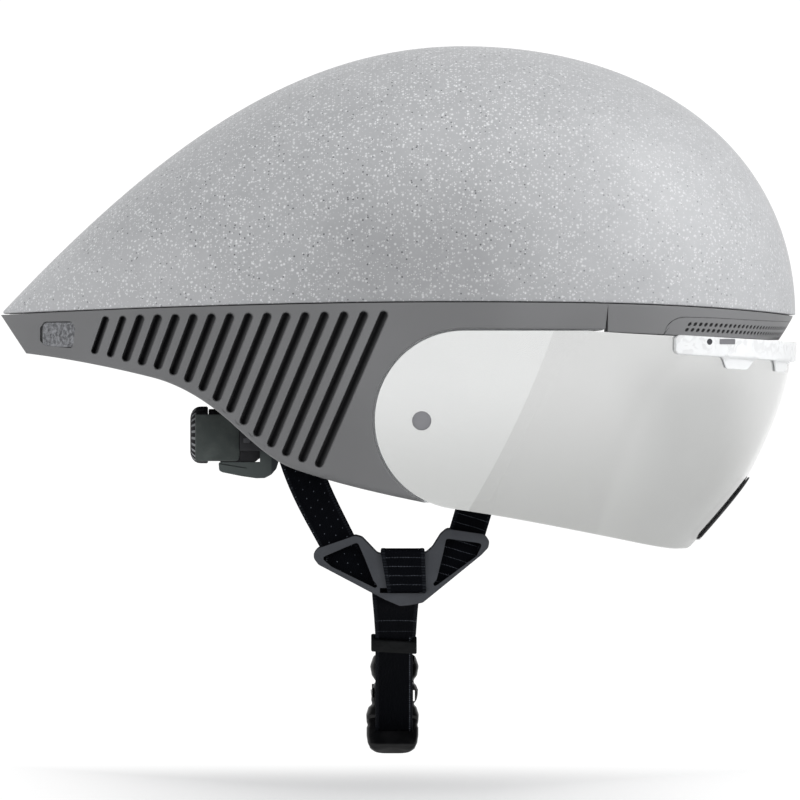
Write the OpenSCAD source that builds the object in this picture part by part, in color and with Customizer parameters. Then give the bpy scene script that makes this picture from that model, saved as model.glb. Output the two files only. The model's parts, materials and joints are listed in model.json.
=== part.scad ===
// Long-tailed time-trial helmet with a wrap-round face lens, a dial fit system and chin straps.
// Millimetres. +X is forward, +Y is the wearer's left, +Z is up.
// The origin is the middle of the head cavity, level with the lower edge of the brow.

/* [Shell] */
// Half of the greatest width
half_w = 98; // [90:1:106]
// Foremost point of the brow
nose_x = 127; // [122:1:132]
// Rearmost point of the tail
tail_x = -246; // [-260:1:-235]
// Height of the crown
crown_z = 138.1; // [132:0.1:145]
// Wall of the top shell
shell_t = 2.6; // [2:0.1:3.5]
// Gap of the groove between the top shell and the lower body
groove = 0.65; // [0.5:0.05:1.5]

/* [Head cavity] */
// Half length of the cavity
cavity_a = 104; // [98:1:106]
// Half width of the cavity
cavity_b = 78; // [72:1:80]
// Height of the cavity above its rim
cavity_c = 95; // [88:1:98]

/* [Lower body] */
// Wall of the side panels
panel_t = 7; // [6:0.5:8]
// Width of a cooling slot
slot_w = 4; // [2.8:0.1:4.2]
// Number of cooling slots on each side
slot_count = 16; // [8:1:16]
// Pitch of the cooling slots at the lens
slot_pitch = 9.32; // [9:0.01:9.6]

/* [Face lens] */
// Wall of the lens
lens_t = 2; // [1.6:0.1:2.4]
// Radius of the round rear end of the lens
lens_r = 41.8; // [38:0.1:43]
// Middle of the round rear end, measured along X
lens_x = -28.7; // [-32:0.1:-26]
// Middle of the round rear end, measured along Z
lens_z = -37.6; // [-40:0.1:-35]
// Radius of the hole near the rear end of the lens
lens_hole_r = 4.5; // [3.5:0.1:5.5]
// Clearance between the lens and its pocket
lens_gap = 0.8; // [0.5:0.1:0.9]
// Wall of the clear bridge along the top of the lens
bridge_t = 2.2; // [2:0.1:3]
// Radius of the magnets in the brow band
magnet_r = 3; // [2:0.1:3.5]

/* [Fit system] */
// Radius of the fit dial
dial_r = 13.2; // [12:0.1:14]
// Width of the fit dial
dial_w = 8.3; // [6:0.1:9]
// Number of grip flutes round the dial
dial_flutes = 24; // [12:1:30]
// Travel of the fit cradle
fit_travel = 15; // [8:1:16]
// Radius of the pins that carry the fit arms
pin_r = 2.5; // [2:0.1:3]
// Radial clearance of the pins and the dial shaft
pin_gap = 0.05; // [0.03:0.01:0.1]

/* [Straps] */
// Width of the side straps
strap_w = 17; // [15:0.5:19]
// Width of the looped chin strap
chin_w = 20.7; // [19:0.1:22]
// Width of the strap at the buckle
tongue_w = 16; // [14:0.1:17]
// Thickness of one layer of webbing
web_t = 1.4; // [1:0.1:1.6]
// Wall of the plastic strap dividers
divider_t = 3; // [2.4:0.1:3.6]

/* [Buckle] */
// Width of the buckle
buckle_w = 24; // [22:0.5:26]
// Thickness of the buckle
buckle_h = 9; // [8.5:0.5:10]
// Length of the male half outside the socket
male_l = 18; // [17:0.5:20]
// Length of the female half
female_l = 40.5; // [38:0.5:43]

/* [Hidden] */
$fn = 48;
// Gap between pieces that seat on each other
seat = 0.3;
// Start of the round front in plan, and how square that front is
front_x = 20;
front_n = 2.3;
// Start of the tapering tail in plan
rear_x = -45;
// How square the dome and the cavity are in section
dome_n = 2.15;
cavity_n = 2.4;
// Height of the cavity's rim
cavity_z = 17;
// Stations along the dome and points across it
dome_steps = 38;
dome_arc = 22;

function mix(a, b, t) = a + (b - a) * t;
function clamp01(t) = min(max(t, 0), 1);
function smooth(t) = let (c = clamp01(t)) c * c * (3 - 2 * c);
function signed_pow(v, p) = sign(v) * pow(abs(v), p);
function bezier(p, t) = let (s = 1 - t)
    s * s * s * p[0] + 3 * s * s * t * p[1] + 3 * s * t * t * p[2] + t * t * t * p[3];
// A curve through knots [x, height, slope]
function curve(k, x, i = 0) =
    i < len(k) - 2 && x > k[i + 1][0] ? curve(k, x, i + 1) :
    let (h = k[i + 1][0] - k[i][0], s = (x - k[i][0]) / h,
         a = s * s * (3 - 2 * s))
    mix(k[i][1], k[i + 1][1], a) + h * s * (1 - s) * ((1 - s) * k[i][2] - s * k[i + 1][2]);

// The line where the top shell meets the lower body, seen from the side
function parting_z(x) =
    x < -40 ? 17.7 - 5.6 * pow((-40 - x) / 205, 1.7)
    : 17.7 - 6.2 * pow((x + 40) / 167, 3);
// Half width of the body in plan
function plan_w(x) =
    x < rear_x ? half_w * pow(max(1 - pow((rear_x - x) / (rear_x - tail_x), 1.9), 0), 0.7) :
    x < front_x ? half_w :
    half_w * pow(max(1 - pow((x - front_x) / (nose_x - front_x), front_n), 0), 1 / front_n);
// Half width of the lower body, which draws in below the parting line
function side_y(x, z) =
    max(plan_w(x) - 10 * pow(max(parting_z(x) - z, 0) / 115, 1.3), 0.8);
// The crown of the dome, seen from the side: [x, z] at q from 0 at the tail to 1 at the brow
crown_top_x = -29.2;
rear_crown = [[tail_x, 12.6], [-173.1, 90], [-107.9, crown_z], [crown_top_x, crown_z]];
front_crown = [[crown_top_x, crown_z], [61.5, crown_z], [nose_x, 88.6], [nose_x, 11.4]];
function crown(q) = q < 0.5
    ? bezier(rear_crown, mix(0.004, 1, pow(2 * q, 1.5)))
    : bezier(front_crown, min(2 * q - 1, 0.998));
// The dome's surface, drawn in by a depth d: a runs from 0 on the right to 180 on the left
function draw_in(v, d) = max(v - d, 0.4 * v);
function dome(q, a, d, rim) = let (
    c = crown(q), mid = (nose_x + tail_x) / 2, half = (nose_x - tail_x) / 2,
    x = mid + (c[0] - mid) * (half - d) / half,
    z0 = parting_z(c[0]) + rim, w = draw_in(plan_w(c[0]), d),
    h = draw_in(max(c[1] - z0, 0.8), d))
    [x, -w * signed_pow(cos(a), 2 / dome_n), z0 + h * pow(max(sin(a), 0), 2 / dome_n)];
// The head cavity, drawn in by a depth d, by station and by height
function cavity_k(t) = pow(max(1 - pow(abs(t), cavity_n), 0), 1 / cavity_n);
function cavity(q, a, d) = let (
    t = -cos(mix(0.8, 179.2, q)), k = cavity_k(t))
    [(cavity_a - d) * t, -(cavity_b - d) * k * signed_pow(cos(a), 2 / cavity_n),
     cavity_z + (cavity_c - d) * k * pow(max(sin(a), 0), 2 / cavity_n)];
function cavity_ring(f, z, d) = let (k = cavity_k((z - cavity_z) / (cavity_c - d)))
    [(cavity_a - d) * k * pow(abs(sin(f)), 2 / cavity_n) * sign(sin(f)),
     -(cavity_b - d) * k * signed_pow(cos(f), 2 / cavity_n), z];

// A solid between two grids of points, joined round their four edges
module slab(front, back) {
    n = len(front);
    m = len(front[0]);
    k = n * m;
    cells = [for (i = [0:n - 2], j = [0:m - 2])
        let (a = i * m + j) [a, a + 1, a + m + 1, a + m]];
    quads = concat(
        cells,
        [for (c = cells) [c[0] + k, c[3] + k, c[2] + k, c[1] + k]],
        [for (i = [0:n - 2]) let (a = i * m, d = a + m) [a, d, d + k, a + k]],
        [for (i = [0:n - 2]) let (b = i * m + m - 1, c = b + m) [c, b, b + k, c + k]],
        [for (j = [0:m - 2]) [j + 1, j, j + k, j + 1 + k]],
        [for (j = [0:m - 2]) let (d = (n - 1) * m + j) [d, d + 1, d + 1 + k, d + k]]);
    polyhedron(
        points = [for (g = [front, back]) for (row = g) each row],
        faces = [for (f = quads) each [[f[0], f[1], f[2]], [f[0], f[2], f[3]]]],
        convexity = 8);
}

module mirrored() {
    mirror([0, 1, 0]) children();
}

module both_sides() {
    children();
    mirrored() children();
}

// Top shell and foam liner
module top_shell() {
    color([0.72, 0.73, 0.75])
    slab(
        [for (i = [0:dome_steps]) [for (j = [0:dome_arc])
            dome(i / dome_steps, 180 * j / dome_arc, 0, groove - seat)]],
        [for (i = [0:dome_steps]) [for (j = [0:dome_arc])
            dome(i / dome_steps, 180 * j / dome_arc, shell_t, groove - seat)]]);
}

module foam_liner() {
    color([0.13, 0.13, 0.14])
    difference() {
        slab(
            [for (i = [0:dome_steps]) [for (j = [0:dome_arc])
                dome(i / dome_steps, 180 * j / dome_arc, shell_t + seat, 0)]],
            [for (i = [0:dome_steps]) [for (j = [0:dome_arc])
                cavity(i / dome_steps, 180 * j / dome_arc, 0)]]);
        anchor_cuts(seat);
    }
}

// Lower body. The lower edge is a curve; the tail and the front edge are slanted
edge_knots = [
    [-233, -6.5, -0.125], [-175, -17.6, -0.25], [-136, -40.4, -0.924],
    [-108, -60.6, -0.344], [-36.5, -78.3, -0.193], [80, -80, 0.05]
];
function edge_z(x) = curve(edge_knots, x);
tail_low_x = tail_x + 11.8;
tail_top_x = tail_x - 0.3;
panel_rows = 10;
panel_cols = 50;
panel_round = 2;
function panel_front_x(v) = curve(
    [[0, -17.9, 45], [0.7, 16, 48], [0.86, 30, 60], [0.888, 36.6, 30], [1, 38.5, 12]], v);
// The rows of the panel crowd together where its front edge steps round the lens
function panel_share(j) = let (q = (j - 2) / (panel_rows - 2))
    q < 0.8 ? 1.14 * q : q < 0.9 ? 0.885 : 1;
function panel_xz(s, j) = let (
    v = j < 3 ? 0.01 * j : mix(0.03, 1, panel_share(j)),
    x = mix(mix(tail_low_x, tail_top_x, v), panel_front_x(v), s),
    z0 = edge_z(x), z1 = parting_z(x) - seat,
    d = [0, 0.6, panel_round][min(j, 2)])
    [x, j < 3 ? z0 + d : mix(z0 + panel_round, z1, panel_share(j)),
     panel_round - sqrt(max(pow(panel_round, 2) - pow(panel_round - d, 2), 0))];
function panel_point(s, j, d) = let (p = panel_xz(s, j), y = side_y(p[0], p[1]) - p[2])
    [p[0], d == 0 ? max(y, 0.6) : max(y + 2 * p[2] - d, 0.15), p[1]];

module cooling_slot(x1, z1, x2, z2, w) {
    reach = 130;
    slant = atan2(x1 - x2, z1 - z2);
    length = norm([x1 - x2, z1 - z2]);
    translate([x1, 0, z1]) rotate([90, slant, 180]) {
        for (end = [0, -length])
            translate([0, end, 0]) cylinder(h = reach, d = w);
        translate([-w / 2, -length, 0]) cube([w, length, reach]);
    }
}

// The lower end of a slot stays a fixed height above the lower edge
slot_rise = 6.6;
function slot_foot(x1, z1, slant, x, n = 5) = n == 0 ? x :
    slot_foot(x1, z1, slant, x1 - (z1 - edge_z(x) - slot_rise) * tan(slant), n - 1);

module cooling_slots() {
    for (n = [0:slot_count - 1]) {
        x1 = -66.4 - slot_pitch * n + 0.043 * n * n;
        z1 = 11.3 - 0.13 * n;
        slant = mix(23.5, 19.3, n / 15);
        x2 = slot_foot(x1, z1, slant, x1 - 12);
        cooling_slot(x1, z1, x2, edge_z(x2) + slot_rise, n > 13 ? slot_w * 0.8 : slot_w);
    }
}

// The lens seats in a flat pocket that leans with the side of the body
lens_lean = atan(0.083);
lens_top_z = 4.2;
lens_slope = -0.142;
function lens_side_y(z) = half_w - 1.6 - 0.083 * (lens_top_z - z);
pocket_floor_y = lens_side_y(lens_top_z) - lens_t - lens_gap;

module lens_pocket() {
    r = lens_r + lens_gap + 0.2;
    translate([0, pocket_floor_y, lens_top_z]) rotate([90 - lens_lean, 0, 0]) mirror([0, 0, 1])
    linear_extrude(height = 20)
    translate([0, -lens_top_z]) union() {
        translate([lens_x, lens_z]) circle(r = r, $fn = 96);
        polygon([[lens_x, lens_z + r], [80, lens_top_z + lens_gap - 0.6], [80, -120],
            [lens_x + r * sin(atan(lens_slope)), lens_z - r * cos(atan(lens_slope))]]);
    }
}

module side_panel() {
    difference() {
        slab(
            [for (i = [0:panel_cols]) [for (j = [panel_rows:-1:0])
                panel_point(pow(i / panel_cols, 1.15), j, 0)]],
            [for (i = [0:panel_cols]) [for (j = [panel_rows:-1:0])
                panel_point(pow(i / panel_cols, 1.15), j, panel_t)]]);
        cooling_slots();
        lens_pocket();
        at_badge() badge_outline(badge_l + 2 * seat, badge_h + 2 * seat, 20);
        side_magnet(seat);
        at_fit_pin() cylinder(h = 2.2, r = pin_r);
    }
}

module side_panel_right() {
    color([0.5, 0.51, 0.53]) mirrored() side_panel();
}

module side_panel_left() {
    color([0.5, 0.51, 0.53]) side_panel();
}

// A dark mesh baffle lies behind the slots
baffle_rear_x = -206;
baffle_front_x = -58;
baffle_t = 1.2;
module vent_baffle() {
    steps = 22;
    rows = 4;
    slab(
        [for (i = [0:steps]) [for (j = [rows:-1:0])
            baffle_point(i / steps, j / rows, panel_t + seat)]],
        [for (i = [0:steps]) [for (j = [rows:-1:0])
            baffle_point(i / steps, j / rows, panel_t + seat + baffle_t)]]);
}
function baffle_point(s, v, d) = let (
    x = mix(baffle_rear_x, baffle_front_x, s),
    z = mix(edge_z(x) + 3, parting_z(x) - 2.5, v))
    [x, side_y(x, z) - d, z];

module vent_baffle_right() {
    color([0.06, 0.06, 0.07]) mirrored() vent_baffle();
}

module vent_baffle_left() {
    color([0.06, 0.06, 0.07]) vent_baffle();
}

// A bare textured plate is let into each side of the tail
badge_x = -219.2;
badge_z = 2.4;
badge_l = 20;
badge_h = 11.4;
badge_t = 1.2;
badge_depth = 1.9;
badge_turn = atan((plan_w(badge_x + 7) - plan_w(badge_x - 7)) / 14);
module at_badge() {
    translate([badge_x, side_y(badge_x, badge_z), badge_z]) rotate([0, 0, badge_turn])
        translate([0, -badge_depth, 0]) rotate([90, 0, 0]) mirror([0, 0, 1]) children();
}

module badge_outline(l, h, t) {
    r = 2.5;
    linear_extrude(height = t) union() {
        for (x = [-1, 1], z = [-1, 1])
            translate([x * (l / 2 - r), z * (h / 2 - r)]) circle(r = r);
        square([l, h - 2 * r], center = true);
        square([l - 2 * r, h], center = true);
    }
}

module tail_badge() {
    at_badge() translate([0, 0, 0.1]) badge_outline(badge_l, badge_h, badge_t);
}

module tail_badge_right() {
    color([0.3, 0.31, 0.33]) mirrored() tail_badge();
}

module tail_badge_left() {
    color([0.3, 0.31, 0.33]) tail_badge();
}

// Brow band and its grille, wrapped round the front. f runs from 0 on the right to 180 on the left
brow_start = 8;
brow_t = 3.2;
function brow_low_z(x) = 3.8 * clamp01((nose_x - 8 - x) / 83);
function brow_inset(f, z, x) =
    (0.6 + 6.4 * pow(sin(f), 6)) * pow(clamp01((parting_z(x) - z) / 12), 1.2)
    + 1.1 * pow(sin(f), 6);
function wrap(f, d) = [
    front_x + (nose_x - front_x - d) * pow(abs(sin(f)), 2 / front_n),
    -(half_w - d) * signed_pow(cos(f), 2 / front_n)];
function wrap_x(f) = wrap(f, 0)[0];
function grille_top_z(x) = mix(10.2, 8.3, smooth((x - 74) / (nose_x - 76)));
function brow_split_z(x) = let (t = 1 - clamp01((x - 65) / 9.5))
    mix(brow_low_z(x), grille_top_z(x) + 0.4, sqrt(1 - t * t));
function brow_point(f, z, d) = let (
    x = wrap_x(f), p = wrap(f, brow_inset(f, z, x) + d)) [p[0], p[1], z];

module brow_band() {
    steps = 44;
    rows = 4;
    color([0.52, 0.53, 0.55])
    slab(
        [for (i = [0:steps]) [for (j = [0:rows])
            let (f = mix(brow_start, 180 - brow_start, i / steps), x = wrap_x(f))
            brow_point(f, mix(brow_split_z(x), parting_z(x) - seat, j / rows), 0)]],
        [for (i = [0:steps]) [for (j = [0:rows])
            let (f = mix(brow_start, 180 - brow_start, i / steps), x = wrap_x(f))
            brow_point(f, mix(brow_split_z(x), parting_z(x) - seat, j / rows), brow_t)]]);
}

module brow_vent_grille() {
    steps = 36;
    rows = 3;
    start = 22;
    color([0.2, 0.2, 0.21])
    slab(
        [for (i = [0:steps]) [for (j = [0:rows])
            let (f = mix(start, 180 - start, i / steps), x = wrap_x(f))
            brow_point(f, grille_z(x, j / rows), 0.5)]],
        [for (i = [0:steps]) [for (j = [0:rows])
            let (f = mix(start, 180 - start, i / steps), x = wrap_x(f))
            brow_point(f, grille_z(x, j / rows), brow_t)]]);
}
function grille_z(x, v) = mix(brow_low_z(x), brow_split_z(x) - seat, v);

// Magnets
side_magnet_x = -48.6;
side_magnet_z = -37.9;
side_magnet_r = 6;
module side_magnet(gap) {
    translate([side_magnet_x, pocket_floor_y, lens_top_z]) rotate([90 - lens_lean, 0, 0])
        translate([0, side_magnet_z - lens_top_z, -0.1])
            cylinder(h = 2.1 + gap, r = side_magnet_r + gap / 3);
}

module side_magnets() {
    color([0.25, 0.25, 0.27]) both_sides() side_magnet(0);
}

brow_magnet_f = 41;
brow_magnet_z = 5;
brow_magnet_t = 2;
module brow_magnets() {
    p = brow_point(brow_magnet_f, brow_magnet_z, brow_t + 0.5);
    q = brow_point(brow_magnet_f + 3, brow_magnet_z, brow_t + 0.5);
    color([0.6, 0.6, 0.62]) both_sides()
    translate(p) rotate([0, -90, atan2(q[1] - p[1], q[0] - p[0]) - 90])
        cylinder(h = brow_magnet_t, r = magnet_r);
}

// Face lens, wrapped from the right pocket round the face to the left pocket
lens_cols_arc = 7;
lens_cols_side = 5;
lens_cols_front = 17;
lens_rows = 8;
function lens_front_x(z) = nose_x - 2 - 0.02987 * pow(max(-5 - z, 0), 1.6);
// u runs from 0 at the rear end to 1 on the mid-plane: [kind, x or angle]
lens_us = concat(
    [for (i = [0:lens_cols_arc]) [0, lens_x - lens_r * cos(mix(6, 90, i / lens_cols_arc))]],
    [for (i = [1:lens_cols_side]) [0, mix(lens_x, front_x, i / lens_cols_side)]],
    [for (i = [1:lens_cols_front]) [1, 90 * pow(i / lens_cols_front, 0.92)]]);
function lens_plan(u, z, d) = u[0] == 0
    ? [u[1], -(lens_side_y(z) - d)]
    : [front_x + (lens_front_x(z) - front_x - d) * pow(sin(u[1]), 2 / front_n),
       -(lens_side_y(z) - d) * pow(max(cos(u[1]), 0), 2 / front_n)];
function lens_high(u) = let (x = lens_plan(u, 0, 0)[0])
    x < lens_x ? lens_z + sqrt(max(pow(lens_r, 2) - pow(x - lens_x, 2), 0)) :
    mix(lens_top_z, -0.9, pow(clamp01((x - 30) / 97), 0.8));
lens_chin_x = lens_x + lens_r * sin(atan(lens_slope));
lens_chin_z = lens_z - lens_r * cos(atan(lens_slope));
// The lower edge falls away from the round end and levels out towards the nose
lens_low_knots = [[0, 0, lens_slope], [51, -8.8, -0.195], [88.6, -15.9, -0.18],
    [108.4, -18.8, -0.1]];
function lens_low(u) = let (p = lens_plan(u, -90, 0), x = p[0])
    x < lens_chin_x ? lens_z - sqrt(max(pow(lens_r, 2) - pow(x - lens_x, 2), 0)) :
    let (edge = lens_chin_z + curve(lens_low_knots, min(x - lens_chin_x, 108.4)),
        notch = notch_z(p[1]))
    (edge + notch + sqrt(pow(edge - notch, 2) + 3)) / 2;
notch_top_z = -64.9;
function notch_z(y) = notch_top_z - pow(y / 8.1, 2);
function lens_half(d) = [for (u = lens_us) [for (j = [0:lens_rows])
    let (z = mix(lens_low(u), lens_high(u), j / lens_rows), p = lens_plan(u, z, d))
    [p[0], p[1], z]]];
function wrap_round(half) = concat(half,
    [for (i = [len(half) - 2:-1:0]) [for (p = half[i]) [p[0], -p[1], p[2]]]]);

module visor_lens() {
    color([0.78, 0.79, 0.8])
    difference() {
        slab(wrap_round(lens_half(0)), wrap_round(lens_half(lens_t)));
        both_sides() translate([side_magnet_x, half_w + 10, side_magnet_z])
            rotate([90, 0, 0]) cylinder(h = 30, r = lens_hole_r);
        both_sides() at_bridge_screw() translate([0, 0, -9]) cylinder(h = 12, r = screw_r + 0.05);
    }
}

// Clear bridge along the top of the lens, with two tabs on each side
bridge_start = 24.7;
bridge_gap = 0.35;
bridge_cols = 40;
bridge_tab = 5.6;
function bridge_high(x) = mix(2.3, -0.9, clamp01((x - 69) / 57));
function bridge_low(f, x) = let (y = abs(wrap(f, 0)[1]),
    tab = smooth((y - 26) / 4) * smooth((47 - y) / 4)
        + smooth((y - 61) / 5) * smooth((78 - y) / 3))
    mix(-6.8, -10.3, clamp01((x - 69) / 57)) - bridge_tab * min(tab, 1) * 0.9;
function bridge_point(f, v, d) = let (
    x0 = wrap_x(f), round_end = 1 - 0.35 * pow(1 - clamp01((min(f, 180 - f) - bridge_start) / 2), 2),
    mid = (bridge_high(x0) + bridge_low(f, x0)) / 2,
    half = (bridge_high(x0) - bridge_low(f, x0)) / 2 * round_end,
    z = mid + half * (2 * v - 1),
    a = lens_front_x(z) - front_x + d, b = lens_side_y(z) + d)
    [front_x + a * pow(sin(f), 2 / front_n), -b * signed_pow(cos(f), 2 / front_n), z];

module visor_bridge() {
    rows = 3;
    color([0.85, 0.87, 0.9, 0.45])
    difference() {
        slab(
            [for (i = [0:bridge_cols]) [for (j = [0:rows])
                bridge_point(mix(bridge_start, 180 - bridge_start, i / bridge_cols),
                    j / rows, bridge_gap + bridge_t)]],
            [for (i = [0:bridge_cols]) [for (j = [0:rows])
                bridge_point(mix(bridge_start, 180 - bridge_start, i / bridge_cols),
                    j / rows, bridge_gap)]]);
        both_sides() at_bridge_screw() {
            translate([0, 0, -9]) cylinder(h = 20, r = screw_r + 0.05);
            translate([0, 0, bridge_t - 1]) cylinder(h = 10, r = screw_head_r + 0.1);
        }
        both_sides() at_bridge_magnet() bridge_bar(0.9, 12, 0.1);
    }
}

// A place on the bridge, with the local +Z pointing out of its surface
module on_bridge(f, z) {
    p = bridge_place(f, z);
    q = bridge_place(f + 2, z);
    translate([p[0], -p[1], z]) rotate([0, 90, 90 - atan2(q[1] - p[1], q[0] - p[0])])
        children();
}
function bridge_place(f, z) = let (
    a = lens_front_x(z) - front_x + bridge_gap, b = lens_side_y(z) + bridge_gap)
    [front_x + a * pow(sin(f), 2 / front_n), -b * pow(cos(f), 2 / front_n)];
magnet_f = 41;
screw_f = 34.9;
screw_r = 0.8;
screw_head_r = 1.4;
module at_bridge_screw() {
    on_bridge(screw_f, -1) children();
}
module at_bridge_magnet() {
    on_bridge(magnet_f, -0.9) children();
}
// A bar magnet and its recess
module bridge_bar(base, h, gap) {
    translate([-1.2 - gap, -4.6 - gap, base]) cube([2.4 + 2 * gap, 9.2 + 2 * gap, h]);
}

module bridge_screws() {
    color([0.15, 0.15, 0.16])
    both_sides() at_bridge_screw() {
        translate([0, 0, -3.4]) cylinder(h = 5, r = screw_r);
        translate([0, 0, bridge_t - 1]) cylinder(h = 1, r = screw_head_r);
        translate([0, 0, -4.6]) cylinder(h = 1.4, r = screw_head_r);
    }
}

module visor_magnets() {
    color([0.62, 0.63, 0.65])
    both_sides() at_bridge_magnet() bridge_bar(0.95, bridge_t - 1, 0);
}

// Rubber channel along the edge of the nose notch
seal_reach = 42;
seal_gap = 0.4;
seal_t = 0.9;
seal_low = -1.9;
seal_web = -0.9;
seal_lip = 0.4;
seal_inner_lip = 3;
module nose_seal() {
    steps = 26;
    color([0.09, 0.09, 0.1])
    slab(
        [for (i = [0:steps]) let (y = mix(-seal_reach, seal_reach, i / steps)) [
            seal_point(y, seal_lip, seal_gap + seal_t), seal_point(y, seal_low, seal_gap + seal_t),
            seal_point(y, seal_low, -lens_t - seal_gap - seal_t),
            seal_point(y, seal_inner_lip, -lens_t - seal_gap - seal_t)]],
        [for (i = [0:steps]) let (y = mix(-seal_reach, seal_reach, i / steps)) [
            seal_point(y, seal_lip, seal_gap), seal_point(y, seal_web, seal_gap),
            seal_point(y, seal_web, -lens_t - seal_gap),
            seal_point(y, seal_inner_lip, -lens_t - seal_gap)]]);
}
function seal_point(y, g, d) = let (
    z = notch_z(y) + g, a = lens_front_x(z) - front_x + d, b = lens_side_y(z) + d)
    [front_x + a * pow(1 - pow(min(abs(y) / b, 0.99), front_n), 1 / front_n), y, z];

// Pads on the wall of the cavity
function pad_t(s, v, t) = 1.2 + (t - 1.2) * (1 - pow(2 * s - 1, 4)) * (1 - pow(2 * v - 1, 4));
module pad(q0, q1, a0, a1, t, n = 10, m = 8) {
    slab(
        [for (i = [0:n]) [for (j = [0:m])
            cavity(mix(q0, q1, i / n), mix(a0, a1, j / m), pad_gap)]],
        [for (i = [0:n]) [for (j = [0:m])
            cavity(mix(q0, q1, i / n), mix(a0, a1, j / m), pad_gap + pad_t(i / n, j / m, t))]]);
}

pad_h = 6;
pad_gap = 0.45;
module brow_pad() {
    n = 26;
    m = 6;
    color([0.1, 0.1, 0.11])
    slab(
        [for (i = [0:n]) [for (j = [0:m])
            cavity_ring(mix(28, 152, i / n), mix(19, 43, j / m), pad_gap)]],
        [for (i = [0:n]) [for (j = [0:m])
            cavity_ring(mix(28, 152, i / n), mix(19, 43, j / m),
                pad_gap + pad_t(i / n, j / m, pad_h))]]);
}

module crown_pad() {
    color([0.1, 0.1, 0.11]) pad(0.36, 0.66, 76, 104, pad_h, 16, 6);
}

module side_pad() {
    pad(0.36, 0.62, 145, 170, pad_h, 14, 6);
}

module side_pad_right() {
    color([0.1, 0.1, 0.11]) mirrored() side_pad();
}

module side_pad_left() {
    color([0.1, 0.1, 0.11]) side_pad();
}

// Straps. A ribbon is laid along centre points, with its width along one direction
module ribbon(path, across, w, t) {
    flat = across / norm(across);
    n = len(path);
    out = [for (i = [0:n - 1]) let (
        d = path[min(i + 1, n - 1)] - path[max(i - 1, 0)], c = cross(d, flat)) c / norm(c)];
    slab(
        [for (i = [0:n - 1]) [for (s = [-0.5, 0.5]) path[i] + flat * s * w + out[i] * t / 2]],
        [for (i = [0:n - 1]) [for (s = [-0.5, 0.5]) path[i] + flat * s * w - out[i] * t / 2]]);
}

// Places of the left-hand straps: on the liner, under the body's edge and at the divider
rear_top = [-126, half_w - 29, 9];
rear_mid = [-101.6, half_w - 22.8, -66];
rear_low = [-85.5, half_w - 23, -100];
front_top = [2, mix(cavity_b, half_w, 0.25), 9];
front_mid = [-25.3, half_w - 22.8, -84];
front_low = [-29.2, half_w - 23, -96.6];
anchor_h = 7;
rear_across = [0.94, 0, 0.33];
front_across = [0.958, 0, -0.287];

// An anchor clears the higher corner of its strap, which leans
module anchor(top, across, gap) {
    low_z = top[2] + strap_w / 2 * abs(across[2]) + 2 * seat;
    translate([top[0] - strap_w / 2 - 2 - gap, top[1] - 2.6 - gap, low_z])
        cube([strap_w + 4 + 2 * gap, 5.2 + 2 * gap,
            parting_z(top[0]) + anchor_h - low_z + gap]);
}

module anchor_cuts(gap) {
    both_sides() {
        anchor(rear_top, rear_across, gap);
        anchor(front_top, front_across, gap);
    }
}

module strap_anchors() {
    color([0.12, 0.12, 0.13]) both_sides() {
        anchor(rear_top, rear_across, 0);
        anchor(front_top, front_across, 0);
    }
}

module rear_strap() {
    ribbon([rear_top, mix(rear_top, rear_mid, 0.5), rear_mid, rear_low],
        rear_across, strap_w, web_t);
}

module front_strap() {
    ribbon([front_top, mix(front_top, front_mid, 0.5), front_mid, front_low],
        front_across, strap_w, web_t);
}

module rear_strap_right() {
    color([0.07, 0.07, 0.08]) mirrored() rear_strap();
}

module rear_strap_left() {
    color([0.07, 0.07, 0.08]) rear_strap();
}

module front_strap_right() {
    color([0.07, 0.07, 0.08]) mirrored() front_strap();
}

module front_strap_left() {
    color([0.07, 0.07, 0.08]) front_strap();
}

// Strap divider: a flat plate with a window for each side strap and a slot for the loop
divider_y = half_w - 22;
divider_x = -60;
divider_rise = -94;
module divider() {
    translate([divider_x, divider_y, divider_rise]) rotate([90, 0, 0]) mirror([0, 0, 1])
    linear_extrude(height = divider_t) difference() {
        polygon([
            [-39.2, -5.6], [-37.3, -3.6], [-19.7, 2.5], [-16.5, 1.5], [-9.1, -6.2],
            [13.4, -5.8], [16.5, -3], [20.2, 2.9], [23.3, 5.6], [40.6, 3.1], [43.1, 0],
            [42.6, -3.2], [39.4, -6.6], [11.9, -29], [5.9, -30.2], [1.2, -30.6],
            [-5.8, -27.6], [-36.9, -11.2], [-39, -8.4]]);
        polygon([
            [-35.5, -8], [-18.6, -0.8], [-15.1, -8.8], [-11.3, -18.6], [-9.3, -21.2],
            [-10.3, -22.1], [-30.7, -12.1]]);
        polygon([
            [22.9, 1], [39.8, -1.4], [37, -7.1], [19.1, -20.3], [17.4, -21.2],
            [16.8, -20.2], [18.5, -18.1], [21.7, -5]]);
        translate([2.5 - chin_w / 2 - 0.4, -24.8]) square([chin_w + 0.8, 2.6]);
    }
}

module divider_right() {
    color([0.22, 0.24, 0.27]) mirrored() divider();
}

module divider_left() {
    color([0.22, 0.24, 0.27]) divider();
}

// A loop of webbing over the top of the divider and through its slot
loop_x = divider_x + 2.5;
loop_low_z = divider_rise - 22.9;
loop_top_z = divider_rise - 5.8 + seat;
loop_in_y = divider_y - seat - web_t;
module strap_loop() {
    h = loop_top_z - loop_low_z;
    depth = divider_t + 2 * seat;
    translate([loop_x - chin_w / 2, divider_y - seat, loop_low_z])
    rotate([90, 0, 90]) linear_extrude(height = chin_w) difference() {
        translate([-web_t, -web_t]) square([depth + 2 * web_t, h + 2 * web_t]);
        square([depth, h]);
    }
}

module strap_loop_right() {
    color([0.07, 0.07, 0.08]) mirrored() strap_loop();
}

module strap_loop_left() {
    color([0.07, 0.07, 0.08]) strap_loop();
}

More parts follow.
